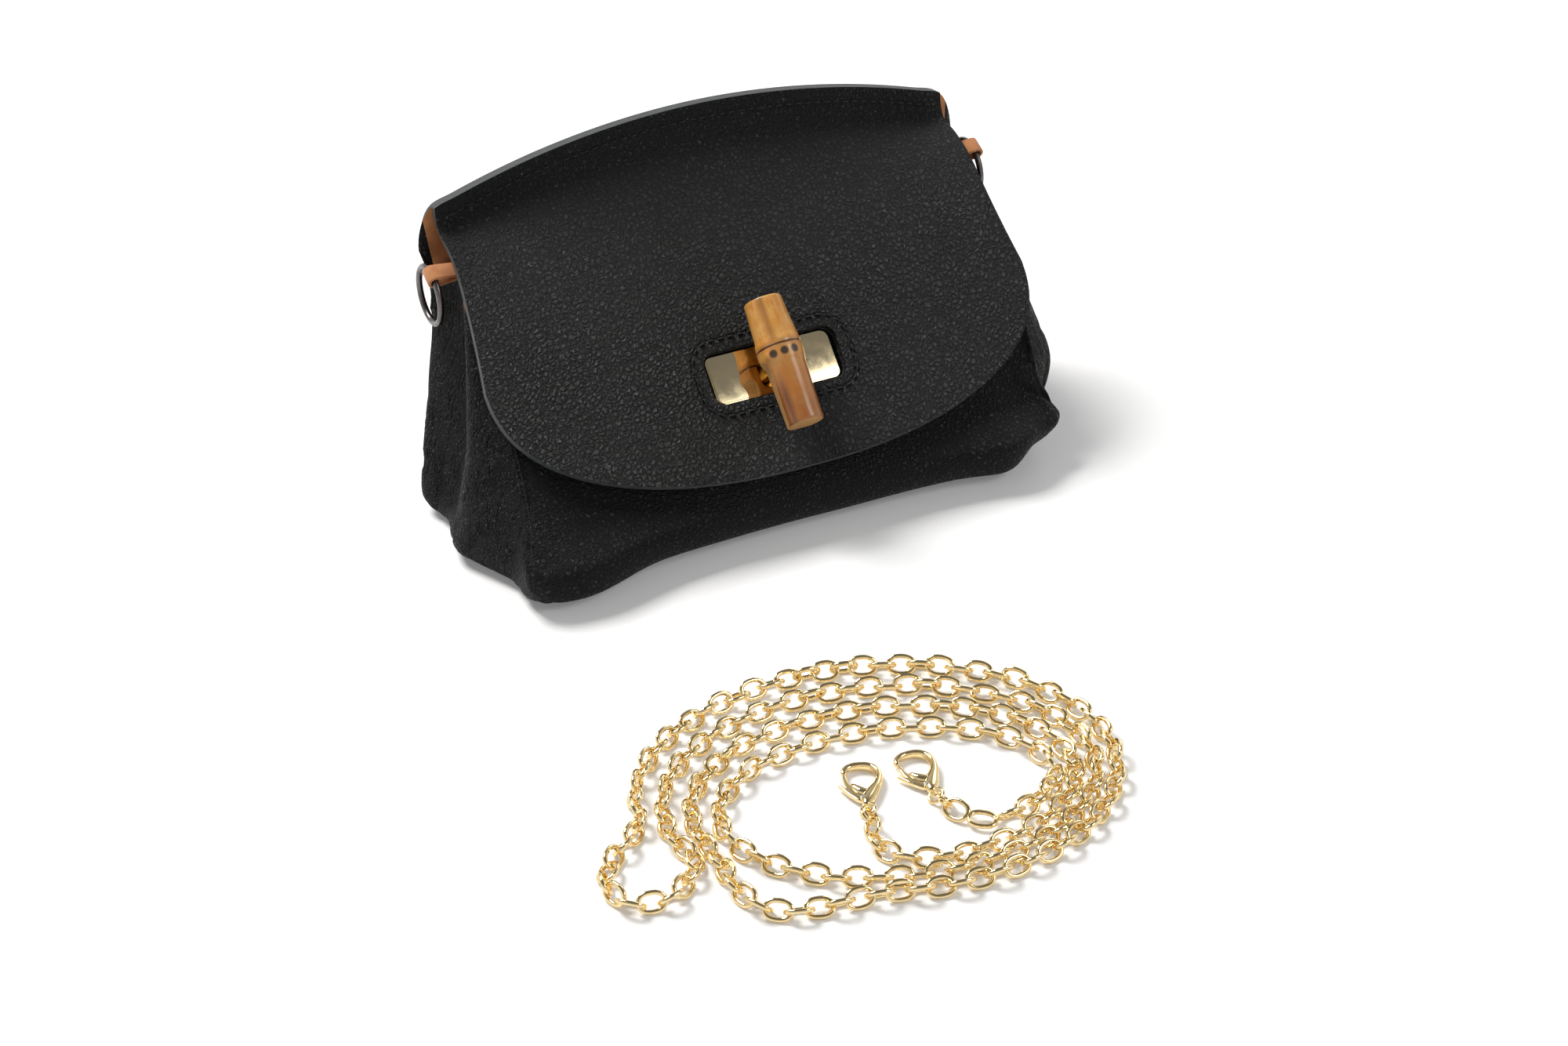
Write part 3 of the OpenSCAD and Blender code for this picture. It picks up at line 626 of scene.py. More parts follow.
# Stations round half of the pouch: x as a share of half the width, y of the depth,
# at the bottom edge, low, belly, waist, chest and top
backStations = [
    [[0, 0.26], [0, 0.337], [0, 0.38], [0, 0.42], [0, 0.468], [0, 0.543]],
    [[0.47, 0.26], [0.5, 0.337], [0.52, 0.38], [0.52, 0.42], [0.51, 0.466], [0.5, 0.535]],
    [[0.7, 0.255], [0.745, 0.325], [0.78, 0.365], [0.775, 0.415], [0.755, 0.463], [0.78, 0.5235]],
    [[0.8, 0.25], [0.86, 0.315], [0.895, 0.355], [0.885, 0.41], [0.86, 0.46],
     [ridgeHalf / halfWidth, 0.522]]]
sideStations = [
    [[0.875, 0.2], [0.947, 0.265], [0.99, 0.305], [0.935, 0.4], [0.893, 0.453], [0.885, 0.485]],
    [[0.885, 0.11], [0.93, 0.13], [0.937, 0.15], [0.87, 0.225], [0.832, 0.305], [0.824, 0.375]],
    [[0.895, -0.04], [0.968, -0.055], [1, -0.065], [0.955, 0.005], [0.905, 0.11], [0.864, 0.225]],
    [[0.885, -0.15], [0.926, -0.2], [0.92, -0.22], [0.853, -0.14], [0.822, 0.02], [0.822, 0.155]],
    [[0.842, -0.25], [0.905, -0.36], [0.937, -0.413], [0.89, -0.305], [0.86, -0.14], [0.85, 0.045]]]
# How far each side station stays under the flap, as shares of sideDrop
sideDrops = [2.1, 2.2, 1.3, 2.2, 1.15]
frontStations = [
    [[0.755, -0.272], [0.8, -0.39], [0.81, -0.446], [0.79, -0.305], [0.78, -0.141], [0.77, 0.022]],
    [[0.47, -0.245], [0.48, -0.342], [0.485, -0.397], [0.48, -0.293], [0.475, -0.141], [0.47, 0.022]],
    [[0, -0.24], [0, -0.327], [0, -0.375], [0, -0.293], [0, -0.141], [0, 0.022]]]
stackDrop = (pouch["flapThick"] + pouch["facingThick"] + pouch["lieGap"]) / math.cos(slopeRad)
sideDrop = (pouch["flapThick"] + 2.5 * pouch["lieGap"]) / math.cos(slopeRad)


def flapHeight(x, y):
    fade = max(0.0, 1 - (pouch["rootY"] - y) / pouch["fade"])
    arch = pouch["ridgeDrop"] * (x / ridgeHalf) ** 2 * fade ** 2
    return pouch["lockZ"] + (y + pouch["lockFront"]) * math.tan(slopeRad) - arch


def stationPoints(station, kind, share=1.0):
    plan = [(p[0] * halfWidth, p[1] * pouch["depth"]) for p in station]
    belly = pouch["bellyZ"]
    low = [(*plan[0], 0.0), (*plan[1], belly * pouch["lowShare"]), (*plan[2], belly)]
    if kind == "back":
        x = plan[5][0]
        topY = pouch["ridgeBack"] * pouch["depth"] - pouch["ridgeBow"] * (x / ridgeHalf) ** 2
        topZ = pouch["ridgeHeight"] - pouch["ridgeDrop"] * (x / ridgeHalf) ** 2
        chest = topZ - pouch["chestDrop"]
        return low + [(*plan[3], belly + (chest - belly) * pouch["backWaist"]),
                      (plan[4][0], topY - pouch["chestDrop"] * math.tan(tiltRad), chest), (x, topY, topZ)]
    drop = stackDrop if kind == "front" else sideDrop * share
    under = [flapHeight(x, y) - drop for x, y in plan]
    if kind == "front":
        return low + [(*plan[k], under[k]) for k in (3, 4, 5)]
    top = under[5]
    return low + [(*plan[3], min(under[3], belly + (top - belly) * pouch["sideWaist"])),
                  (*plan[4], min(under[4], belly + (top - belly) * pouch["sideChest"])), (*plan[5], top)]


def pouchGrid():
    half = [stationPoints(s, "back") for s in backStations]
    half += [stationPoints(s, "side", d) for s, d in zip(sideStations, sideDrops)]
    half += [stationPoints(s, "front") for s in frontStations]
    half = np.array(half)
    other = half[-2:0:-1] * (-1, 1, 1)
    loop = np.concatenate([half, other])
    rises = np.array([smoothCurve(s, pouch["riseSteps"]) for s in loop])
    return np.array([smoothCurve(rises[:, r], pouch["aroundSteps"], closed=True)
                     for r in range(rises.shape[1])])


def gridNormals(grid, closed):
    if closed:
        across = np.roll(grid, -1, 1) - np.roll(grid, 1, 1)
    else:
        across = np.gradient(grid, axis=1)
    up = np.gradient(grid, axis=0)
    normal = np.cross(across, up)
    return normal / np.maximum(np.linalg.norm(normal, axis=2), 1e-9)[..., None]


# Where the soft base gives: how far, below what height, and between which distances it begins and is full
settling = {
    "low": 11.0, "left": 7.0, "front": 3.5, "frontLeft": 3.0, "corner": (-8.0, 7.0), "cornerHeight": 30.0,
    "leftFrom": (55, 85), "rightFrom": (58, 86), "frontFrom": (5, 25), "cornerFrom": (0, 28),
    "frontLeftAt": -76, "frontLeftWidth": 16, "frontHolds": 0.75,
}


def smoothStep(value, low, high):
    t = min(1.0, max(0.0, (value - low) / (high - low)))
    return t * t * (3 - 2 * t)


def settle(point):
    # The soft base spreads to the left and the front; the corner at the right front is pulled in
    x, y, z = point
    low = math.exp(-(z / settling["low"]) ** 2)
    left, right = smoothStep(-x, *settling["leftFrom"]), smoothStep(x, *settling["rightFrom"])
    front = smoothStep(-y, *settling["frontFrom"])
    dx = -settling["left"] * low * left * (1 - settling["frontHolds"] * front)
    byLeft = math.exp(-((x - settling["frontLeftAt"]) / settling["frontLeftWidth"]) ** 2)
    dy = -(settling["front"] + settling["frontLeft"] * byLeft) * low * front * (1 - right)
    pulled = right * smoothStep(-y, *settling["cornerFrom"]) * math.exp(-(z / settling["cornerHeight"]) ** 2)
    return dx + settling["corner"][0] * pulled, dy + settling["corner"][1] * pulled, 0.0


outerGrid = pouchGrid()
for row in outerGrid:
    for point in row:
        point += settle(point)
rowCount, colCount = outerGrid.shape[:2]
steps = pouch["aroundSteps"]
backEnd = steps * len(backStations)
frontStart = steps * (len(backStations) + len(sideStations) - 1)


# Gathered folds and dents; a fold is scale, offset, width and share, and rows count up from the base
creasing = {
    "depth": 1.3, "height": 16, "reach": 17, "rows": 4, "fade": 1.5,
    "folds": [((0.045, 0.1, 0.03), (5, 2, 9), 0.09, 0.6), ((0.09, 0.24, 0.07), (1, 7, 3), 0.1, 0.4)],
    "dent": 0.35, "dentScale": 0.03, "dentOffset": (3, 8, 1), "dentRows": 6,
    "seamDepth": 0.35, "seamWidth": 1.2,
}


def creaseDepth(point, strength):
    # Gathered folds low on the sides, fading out upwards
    fold = 0.0
    for scale, offset, width, share in creasing["folds"]:
        wander = noise.noise(Vector([p * s for p, s in zip(point, scale)]) + Vector(offset))
        fold += math.exp(-(wander / width) ** 2) * share
    low = math.exp(-((point[2] - creasing["height"]) / creasing["reach"]) ** 2)
    return strength * low * fold


def softDent(point):
    return creasing["dent"] * noise.noise(
        Vector(point) * creasing["dentScale"] + Vector(creasing["dentOffset"]))


pouchNormals = -gridNormals(outerGrid, True)
seamCols = (backEnd, frontStart, colCount - frontStart, colCount - backEnd)
wrinkled = outerGrid.copy()
for c in range(colCount):
    seamAway = min(abs(c - k) for k in seamCols)
    inGusset = seamCols[0] <= c <= seamCols[1] or seamCols[2] <= c <= seamCols[3]
    sideness = 1.0 if inGusset else max(0.0, 1 - seamAway / (creasing["fade"] * steps))
    seamPull = creasing["seamDepth"] * math.exp(-(seamAway / creasing["seamWidth"]) ** 2)
    for r in range(rowCount):
        rise = r / (rowCount - 1)
        p = outerGrid[r, c]
        above = min(1.0, r / creasing["dentRows"])
        depth = creaseDepth(p, creasing["depth"] * sideness) * min(1.0, r / creasing["rows"])
        depth -= softDent(p) * above * (1 - rise) ** 0.5
        depth += seamPull * above * min(1.0, (1 - rise) * 6)
        wrinkled[r, c] -= pouchNormals[r, c] * depth
innerGrid = outerGrid - pouchNormals * pouch["wall"]
innerGrid[0] = outerGrid[0] + np.array([0, 0, pouch["wall"]])

# Under the flap, as far as the set number of steps over the gussets, the top edge and the lining's topRows
# are dark: black leather in place of tan suede, as painted shade
shell = {"edgeRound": 0.35, "topRows": 12, "paintedShadeSteps": 1.6 * steps}


def leatherShell(name, first, last, slots, replaced, turnedIn=3):
    # A closed sheet of leather cut from the pouch's loft: outside, inside and its four edges.
    # The slots are outside, lining, top edge, and seams with the turned-in leather beside them; the last slot
    # also carries the painted shade on the lining and top edge under the flap
    cols = [c % colCount for c in range(first, last + 1)]
    # Columns under the flap, whose lining top rows and top edge get black leather as painted shade
    paintedShadeCols = [frontStart - shell["paintedShadeSteps"] < c < colCount - frontStart + shell["paintedShadeSteps"]
               for c in cols]
    n, m = rowCount, len(cols)
    verts = np.concatenate([wrinkled[:, cols].reshape(-1, 3), innerGrid[:, cols].reshape(-1, 3)])
    kinds = [0] * ((n - 1) * (m - 1))
    for row in range(n - 1):
        for col in range(m - 1):
            turned = min(col, m - 2 - col) < turnedIn
            kinds.append(3 if turned or (paintedShadeCols[col] and row > n - shell["topRows"]) else 1)
    for c in range(m - 1):
        kinds += [1, 3 if paintedShadeCols[c] else 2]
    kinds += [3, 3] * (n - 1)
    piece = newPiece(name, verts, sheetFaces(n, m), slots, kinds)
    roundEdges(piece, shell["edgeRound"], 2, 60, material=3)
    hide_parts(replaced)
    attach(piece, "pouch")


panelSlots, gussetSlots = ("body", "suede", "edge", "body"), ("gusset", "suede", "rawEdge", "gusset")
leatherShell("backLeather", -backEnd, backEnd, panelSlots, "back_panel", turnedIn=9)
leatherShell("rightGusset", backEnd, frontStart, gussetSlots, "gusset_right", turnedIn=14)
leatherShell("leftGusset", colCount - frontStart, colCount - backEnd, gussetSlots, "gusset_left", turnedIn=14)
print("pouch sides made")
leatherShell("frontLeather", frontStart, colCount - frontStart, ("body", "suede", "edge", "edge"),
             "front_panel")

# Bottom panel: the share of its flat middle, and inset and height round its lower edge
bottom = {"flatShare": 0.55, "edge": [(1.2, 0.0), (0.35, 0.12), (0.0, 0.45)]}


def bottomLeather():
    rim, wall = outerGrid[0][:, :2], pouch["wall"]
    middle = rim.mean(0)
    flat = middle + (rim - middle) * bottom["flatShare"]
    outward = unit(rim - middle)
    loops = [(flat, 0.0)] + [(rim - outward * inset, height) for inset, height in bottom["edge"]]
    loops += [(rim, wall), (flat, wall)]
    verts = np.concatenate([np.column_stack([loop, np.full(len(rim), height)]) for loop, height in loops])
    faces = loftFaces(len(loops), len(rim))
    kinds = [0] * (len(faces) - 1) + [1]
    piece = newPiece("bottomLeather", verts, faces, ("body", "suede"), kinds)
    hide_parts("bottom_panel")
    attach(piece, "pouch")


bottomLeather()

# Flap
flap = {
    "slotLength": 42, "slotHeight": 16, "slotRadius": 4, "facingWidth": 6, "cutDepth": (-8, 6),
    "stripRows": 8, "rows": 34, "rowEase": 1.2, "cornerRows": 26, "lastAngle": 88.0,
    "cols": 120, "colEase": 0.15, "bend": 5.0, "edgeRound": 0.7, "facingRound": 0.25, "turns": (-1.0, 16.0),
    # Waves are size, scale across, scale along and seed; they are calm near the root and round the slot
    "waves": [(0.5, 0.025, 0.022, 4.0), (0.25, 0.07, 0.04, 1.0)],
    "calmRoot": (4, 25), "calmSlot": (34, 20, 0.9),
    "stitchFromSlot": 3.4, "stitchFromRidge": 4.6, "stitchPitch": 3.1, "stitchLength": 2.1, "thread": 0.55,
    "threadLift": 0.05, "stitchShape": (0.55, 0.9, 1.0, 1.0, 1.0, 0.9, 0.55), "stitchRise": (0.55, 2.2),
}
flapCorner = pouch["cornerStart"] * pouch["flapLength"]
materials["flap"] = blackLeather("flapLeather", cell=1.6, coarse=1.5, seed=3.0, fine=(48.0, 72.0),
                                 sewn=flap["stitchFromSlot"])
stripEnd = steps * (len(backStations) - 1)
stripCols = [c % colCount for c in range(-stripEnd, stripEnd + 1)]
stripGrids = (innerGrid[-1][stripCols], innerGrid[-3][stripCols], pouchNormals[-1][stripCols])
stripLength = (pouch["seam"] - 0.2) / math.cos(tiltRad)


def stripPoint(x, s):
    # Front face of the strip, which lies on the inside of the back panel up to its edge
    high, low, out = (np.array([np.interp(x, stripGrids[0][:, 0], grid[:, k]) for k in range(3)])
                      for grid in stripGrids)
    ahead = (low - high) / np.linalg.norm(low - high)
    return high + ahead * (stripLength + s) - out * (pouch["seamGap"] + pouch["flapThick"])


def flapSurface(x, s):
    # s runs down from the root; above it (s < 0) the strip stands up along the ridge
    if s < 0:
        return stripPoint(x, s)
    bow = pouch["ridgeBow"] * (x / ridgeHalf) ** 2
    slopeY = pouch["rootY"] - bow * (1 - s / pouch["flapLength"]) - s * math.cos(slopeRad)
    return np.array([x, slopeY, flapHeight(x, slopeY)])


def flapPoint(x, s):
    # The bend between the strip and the slope is eased over a short length
    ease = flap["bend"]
    if abs(s) >= ease:
        return flapSurface(x, s)
    t = (s + ease) / (2 * ease)
    a, b, c = stripPoint(x, -ease), stripPoint(x, 0.0), flapSurface(x, ease)
    return a * (1 - t) ** 2 + 2 * b * t * (1 - t) + c * t * t


def flapBuckle(x, s):
    # Slow waves in the flap, gone at its root and its slot
    start, reach = flap["calmRoot"]
    calm = min(1.0, max(0.0, (s - start) / reach))
    lockS = (pouch["rootY"] + pouch["lockFront"]) / math.cos(slopeRad)
    halfLong, halfHigh, margin = flap["calmSlot"]
    away = math.hypot(x / halfLong, (s - lockS) / halfHigh)
    calm *= min(1.0, max(0.0, away - margin))
    return calm * sum(size * noise.noise(Vector((x * across, s * along, seed)))
                      for size, across, along, seed in flap["waves"])


def flapRows():
    # Half width and distance down from the root, of each row of points
    widest, share = pouch["flapWidth"] / 2, 2 / pouch["flapSquare"]
    rows = [(ridgeHalf, -stripLength + stripLength * k / flap["stripRows"]) for k in range(flap["stripRows"])]
    for k in range(flap["rows"]):
        s = flapCorner * (k / flap["rows"]) ** flap["rowEase"]
        rows.append((ridgeHalf + (widest - ridgeHalf) * (s / flapCorner) ** 2, s))
    for k in range(flap["cornerRows"] + 1):
        a = math.radians(flap["lastAngle"] * k / flap["cornerRows"])
        rows.append((widest * math.cos(a) ** share,
                     flapCorner + (pouch["flapLength"] - flapCorner) * math.sin(a) ** share))
    return rows


def flapLeather():
    rows = flapRows()
    n, m = len(rows), flap["cols"] + 1
    top, lift = np.zeros((n, m, 3)), np.zeros((n, m))
    ease = flap["colEase"]
    for r, (half, s) in enumerate(rows):
        for c in range(m):
            share = 2 * c / flap["cols"] - 1
            x = half * math.sin(math.radians(90) * share) * ease + half * share * (1 - ease)
            top[r, c] = flapPoint(x, s)
            lift[r, c] = flapBuckle(x, s)
    normals = -gridNormals(top, False)
    out = top + normals * lift[..., None]
    under = top - normals * pouch["flapThick"]
    verts = np.concatenate([out.reshape(-1, 3), under.reshape(-1, 3)])
    cells = (n - 1) * (m - 1)
    kinds = [0] * cells + [1] * cells + [2] * (2 * (m - 1) + 2 * (n - 1))
    piece = newPiece("flapLeather", verts, sheetFaces(n, m, flip=True), ("flap", "suede", "edge"), kinds)
    cutter = slotCutter()
    cut = piece.modifiers.new("slot", "BOOLEAN")
    cut.operation = "DIFFERENCE"
    cut.solver = "EXACT"
    cut.object = cutter
    roundEdges(piece, flap["edgeRound"], 3, 50)
    bpy.data.objects.remove(cutter)
    bpy.context.view_layer.update()
    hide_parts("flap_panel", "flap_root")
    blendFlap(piece)


def roundedLoop(length, height, radius, perCorner=8):
    loop = []
    for cx, cy, start in ((1, 1, 0), (-1, 1, 90), (-1, -1, 180), (1, -1, 270)):
        for k in range(perCorner + 1):
            a = math.radians(start + 90 * k / perCorner)
            loop.append((cx * (length / 2 - radius) + radius * math.cos(a),
                         cy * (height / 2 - radius) + radius * math.sin(a)))
    return np.array(loop)


def slotLoop(off=0, perCorner=8):
    # The slot's outline, off by a distance all round
    return roundedLoop(flap["slotLength"] + 2 * off, flap["slotHeight"] + 2 * off, flap["slotRadius"] + off,
                       perCorner)


def slotCutter():
    loop = slotLoop()
    verts = fromSlope([(x, y, z) for z in flap["cutDepth"] for x, y in loop])
    return newPiece("slotCutter", verts, loftFaces(2, len(loop)), ("flap",))


def blendFlap(piece):
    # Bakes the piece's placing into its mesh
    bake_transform(piece)


flapLeather()
print("flap made")


def slotFacing():
    # The doubled border sewn behind the slot
    outerLoop, innerLoop = slotLoop(flap["facingWidth"]), slotLoop()
    low, high = -pouch["flapThick"] - pouch["facingThick"], -pouch["flapThick"]
    rings = [(outerLoop, low), (innerLoop, low), (innerLoop, high), (outerLoop, high)]
    verts = fromSlope([(x, y, z) for loop, z in rings for x, y in loop])
    faces = [face[::-1] for face in loftFaces(4, len(innerLoop), ring=True)]
    kinds = [r % 2 for r in range(4) for _ in innerLoop]
    piece = newPiece("slotFacing", verts, faces, ("flap", "edge"), kinds)
    roundEdges(piece, flap["facingRound"], 2, 50)
    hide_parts("slot_facing")
    blendFlap(piece)


slotFacing()


def stitchAt(centre, ahead, up, length, radius):
    # One sewn stitch: a short thread that dips into the leather at both ends
    shape = flap["stitchShape"]
    rise, dip = flap["stitchRise"]
    path = []
    for k in range(len(shape)):
        t = k / (len(shape) - 1) * 2 - 1
        path.append(centre + ahead * (t * length / 2) + up * (radius * rise * (1 - dip * abs(t) ** 3)))
    return tube(path, [radius * s for s in shape], 6)


def stitchRow(points, normals):
    # Stitches of even pitch along a sewn line
    run = np.concatenate([[0], np.cumsum(np.linalg.norm(np.diff(points, axis=0), axis=1))])
    count = max(2, round(run[-1] / flap["stitchPitch"]))
    pitch = run[-1] / count

    def at(rows, s):
        return np.array([np.interp(s, run, rows[:, k]) for k in range(3)])

    parts = []
    for i in range(count):
        s = (i + 0.5) * pitch
        ahead = at(points, s + 0.4) - at(points, s - 0.4)
        up = at(normals, s)
        parts.append(stitchAt(at(points, s), ahead / np.linalg.norm(ahead), up / np.linalg.norm(up),
                              flap["stitchLength"], flap["thread"] / 2))
    return joined(parts)


def sewnThreads():
    # Round the slot
    loop = slotLoop(flap["stitchFromSlot"], 12)
    loop = np.vstack([loop, loop[:1]])
    points = fromSlope([(x, y, flap["threadLift"]) for x, y in loop])
    verts, faces = stitchRow(points, np.tile(slopeFrame()[:3, 2], (len(points), 1)))
    piece = newPiece("slotStitches", verts, faces, ("thread",))
    blendFlap(piece)
    # Along the ridge
    s = -(pouch["seam"] / math.cos(tiltRad) - flap["stitchFromRidge"])
    xs = np.linspace(-ridgeHalf + 3, ridgeHalf - 3, 90)
    points = np.array([flapPoint(x, s) for x in xs])
    below = np.array([flapPoint(x, s + 0.5) for x in xs])
    normals = -unit(np.cross(np.gradient(points, axis=0), points - below))
    if normals[len(xs) // 2][1] > 0:
        normals = -normals
    verts, faces = stitchRow(points + normals * flap["threadLift"], normals)
    piece = newPiece("ridgeStitches", verts, faces, ("thread",))
    blendFlap(piece)


sewnThreads()
print("stitching made")


# Bamboo toggle
bamboo = {
    "length": 38, "diameter": 11.8, "lift": 6.73, "shift": -0.04, "flatShare": 0.73, "sides": 84,
    # Place along the stick and radius there, as shares of its length and half its diameter
    "profile": [[-.5, .88], [-.494, .93], [-.478, .955], [-.33, .97], [-.19, 1.0], [-.07, 1.03],
                [.01, 1.1], [.06, 1.14], [.095, 1.15], [.106, 1.125], [.112, 1.085], [.12, 1.11],
                [.135, 1.12], [.2, 1.07], [.32, 1.01], [.44, .965], [.48, .95], [.494, .93], [.5, .88]],
    "nodeAt": 0.112, "dots": [-40, -11, 17], "dotDrop": 2.5, "dotRadius": 1.2,
    "facetAngle": -100, "facetShare": 0.86, "facetFrom": 0.02, "facetRise": (0.18, 0.03),
    "budPlace": (-54, 0.045), "budSize": (0.5, 11, 0.045), "uneven": 0.12, "dotShare": 1.13,
    "edgeRound": 0.22,
}


def bambooMaterial():
    material, w, shader, place = startMaterial("honeyBamboo")
    local = slopePlace(w, place)
    split = w.node("SeparateXYZ", Vector=local)
    across = split.outputs["X"]
    nodeY = (bamboo["nodeAt"] + bamboo["shift"]) * bamboo["length"]
    along = w.minus(split.outputs["Y"], nodeY)
    drawn = w.vector("MULTIPLY", local, (1.0, 0.06, 1.0))
    streaks = w.noise(drawn, 1.1, 4.0, 0.6)
    wide = w.noise(drawn, 0.22)
    mottle = w.noise(local, 0.25, 3.0, 0.6)
    honey = w.mix(w.range(streaks, 0.3, 0.7), (0.80, 0.37, 0.070, 1), (0.60, 0.22, 0.035, 1))
    honey = w.mix(w.range(mottle, 0.35, 0.7), honey, (0.76, 0.40, 0.11, 1))
    honey = w.mix(w.range(along, 1.0, -10.0, 0.0, 0.6), honey, (0.42, 0.13, 0.028, 1))
    burnt = (0.13, 0.030, 0.008, 1)
    # Scorched bands: along the left of the upper half and both edges of the lower one
    upper = w.range(along, 0.5, 2.0)
    left = w.math("ABSOLUTE", w.plus(across, 2.9))
    bandUp = w.times(w.range(left, 0.2, 1.7, 1.0, 0.0), upper)
    edges = w.range(w.math("ABSOLUTE", w.plus(across, -0.4)), 2.6, 4.9)
    bandLow = w.times(edges, w.range(along, -5.0, -16.0))
    tail = w.range(along, -9.0, -20.0, 0.0, 0.35)
    stain = w.math("MAXIMUM", w.times(bandUp, 0.75), w.times(bandLow, 0.95))
    stain = w.math("MAXIMUM", stain, tail)
    stain = w.math("MULTIPLY", stain, w.range(wide, 0.25, 0.6, 0.45, 1.0), clamp=True)
    tint = w.mix(stain, honey, burnt)
    # The node: a dark line round the stick, redder just beside it
    wave = w.plus(along, w.times(w.minus(mottle, 0.5), 0.5))
    ring = w.range(w.math("ABSOLUTE", wave), 0.12, 0.5, 0.92, 0.0)
    halo = w.range(w.math("ABSOLUTE", wave), 0.2, 2.2, 0.4, 0.0)
    tint = w.mix(halo, tint, (0.33, 0.10, 0.03, 1))
    tint = w.mix(ring, tint, (0.055, 0.014, 0.006, 1))
    # Root dots under the node
    dots = None
    for angle in bamboo["dots"]:
        a = math.radians(angle)
        radius = bamboo["diameter"] / 2 * bamboo["dotShare"]
        centre = (radius * math.sin(a), nodeY - bamboo["dotDrop"], bamboo["lift"] + radius * math.cos(a))
        apart = w.vector("DISTANCE", local, centre)
        spot = w.range(apart, bamboo["dotRadius"] * 0.7, bamboo["dotRadius"] * 1.25, 1.0, 0.0)
        dots = spot if dots is None else w.math("MAXIMUM", dots, spot)
    tint = w.mix(w.times(dots, 0.93), tint, (0.012, 0.011, 0.014, 1))
    height = w.minus(w.times(streaks, 0.4), w.times(dots, 0.8))
    w.feed(shader, Base_Color=tint, Roughness=w.range(streaks, 0.3, 0.7, 0.26, 0.4), Coat_Weight=0.35,
           Coat_Roughness=0.12, Normal=w.bump(0.35, 0.0002, height))
    return material


def cutBambooMaterial():
    # Sawn end and shaved facet: pale, with fibre ends
    material, w, shader, place = startMaterial("cutBamboo")
    nap = useGroup(w, "flesh", place, Fibre=1.2)["Height"]
    tint = w.mix(w.range(nap, 0.3, 0.7), (0.62, 0.36, 0.14, 1), (0.46, 0.22, 0.075, 1))
    w.feed(shader, Base_Color=tint, Roughness=w.range(nap, 0.2, 0.8, 0.45, 0.65),
           Normal=w.bump(0.3, 0.0001, nap))
    return material


materials["bamboo"] = bambooMaterial()
materials["cutBamboo"] = cutBambooMaterial()


def bambooToggle():
    half = bamboo["diameter"] / 2
    flat = bamboo["flatShare"] * half
    profile = smoothCurve([(r * half, s) for s, r in bamboo["profile"]], 5)
    sides = bamboo["sides"]
    cutX, cutZ = (f(math.radians(bamboo["facetAngle"])) for f in (math.sin, math.cos))
    budAngle, budShare = bamboo["budPlace"]
    budHeight, budDegrees, budReach = bamboo["budSize"]
    rise, reach = bamboo["facetRise"]
    rings, shaved = [], []
    for radius, share in profile:
        ring, row = [], []
        for k in range(sides):
            a = 2 * math.pi * k / sides
            # Slightly uneven, with a bud at the left below the node
            degrees = math.degrees(a) if a < math.pi else math.degrees(a) - 360
            bump = budHeight * math.exp(-((degrees - budAngle) / budDegrees) ** 2
                                        - ((share - budShare) / budReach) ** 2)
            bump += bamboo["uneven"] * noise.noise(Vector((math.sin(a), math.cos(a), share * 6)) * 1.3)
            x, z = (radius + bump) * math.sin(a), (radius + bump) * math.cos(a)
            z = max(z, -flat)
            cut = 0.0
            if share < bamboo["facetFrom"]:
                depth = half * (bamboo["facetShare"] + rise * math.exp((share - bamboo["facetFrom"]) / reach))
                cut = x * cutX + z * cutZ - depth
                if cut > 0:
                    x -= cutX * cut
                    z -= cutZ * cut
            row.append(cut > 0.02)
            ring.append((x, (share + bamboo["shift"]) * bamboo["length"], z + bamboo["lift"]))
        rings.append(ring)
        shaved.append(row)
    verts = np.array(rings).reshape(-1, 3)
    kinds = [1 if row[k] and row[(k + 1) % sides] else 0 for row in shaved[:-1] for k in range(sides)]
    piece = newPiece("bambooToggle", fromSlope(verts), loftFaces(len(rings), sides), ("bamboo", "cutBamboo"),
                     kinds + [1, 1])
    fixNormals(piece)
    roundEdges(piece, bamboo["edgeRound"], 2, 45)
    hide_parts("bamboo_toggle")
    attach(piece, "toggle")


bambooToggle()
print("toggle made")

# Chain strap
chain = {
    "length": 8.3, "width": 6.2, "wire": 1.3, "round": 2.35, "pathPoints": 28, "wireSides": 10,
    "squareness": 2.6, "roll": 9.0, "yaw": 2.5, "sink": 0.6,
}


def cadPoints(nodeName):
    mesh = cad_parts[nodeName].data
    points = np.empty(len(mesh.vertices) * 3)
    mesh.vertices.foreach_get("co", points)
    return points.reshape(-1, 3) / mm


def separateSolids(nodeName):
    # The points of each separate solid in a CAD node
    work = bmesh.new()
    work.from_mesh(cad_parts[nodeName].data)
    bmesh.ops.remove_doubles(work, verts=work.verts, dist=2e-6)
    seen, solids = set(), []
    for start in work.verts:
        if start in seen:
            continue
        seen.add(start)
        stack, points = [start], []
        while stack:
            vert = stack.pop()
            points.append(tuple(vert.co))
            for edge in vert.link_edges:
                other = edge.other_vert(vert)
                if other not in seen:
                    seen.add(other)
                    stack.append(other)
        solids.append(np.array(points) / mm)
    work.free()
    return solids


def ownAxes(points):
    # Middle of a solid and its long, wide and thin directions, as a right-handed set
    axes = np.linalg.eigh(np.cov((points - points.mean(0)).T))[1][:, ::-1]
    local = points @ axes
    middle = axes @ ((local.min(0) + local.max(0)) / 2)
    return middle, axes if np.linalg.det(axes) >= 0 else axes * (1, 1, -1)


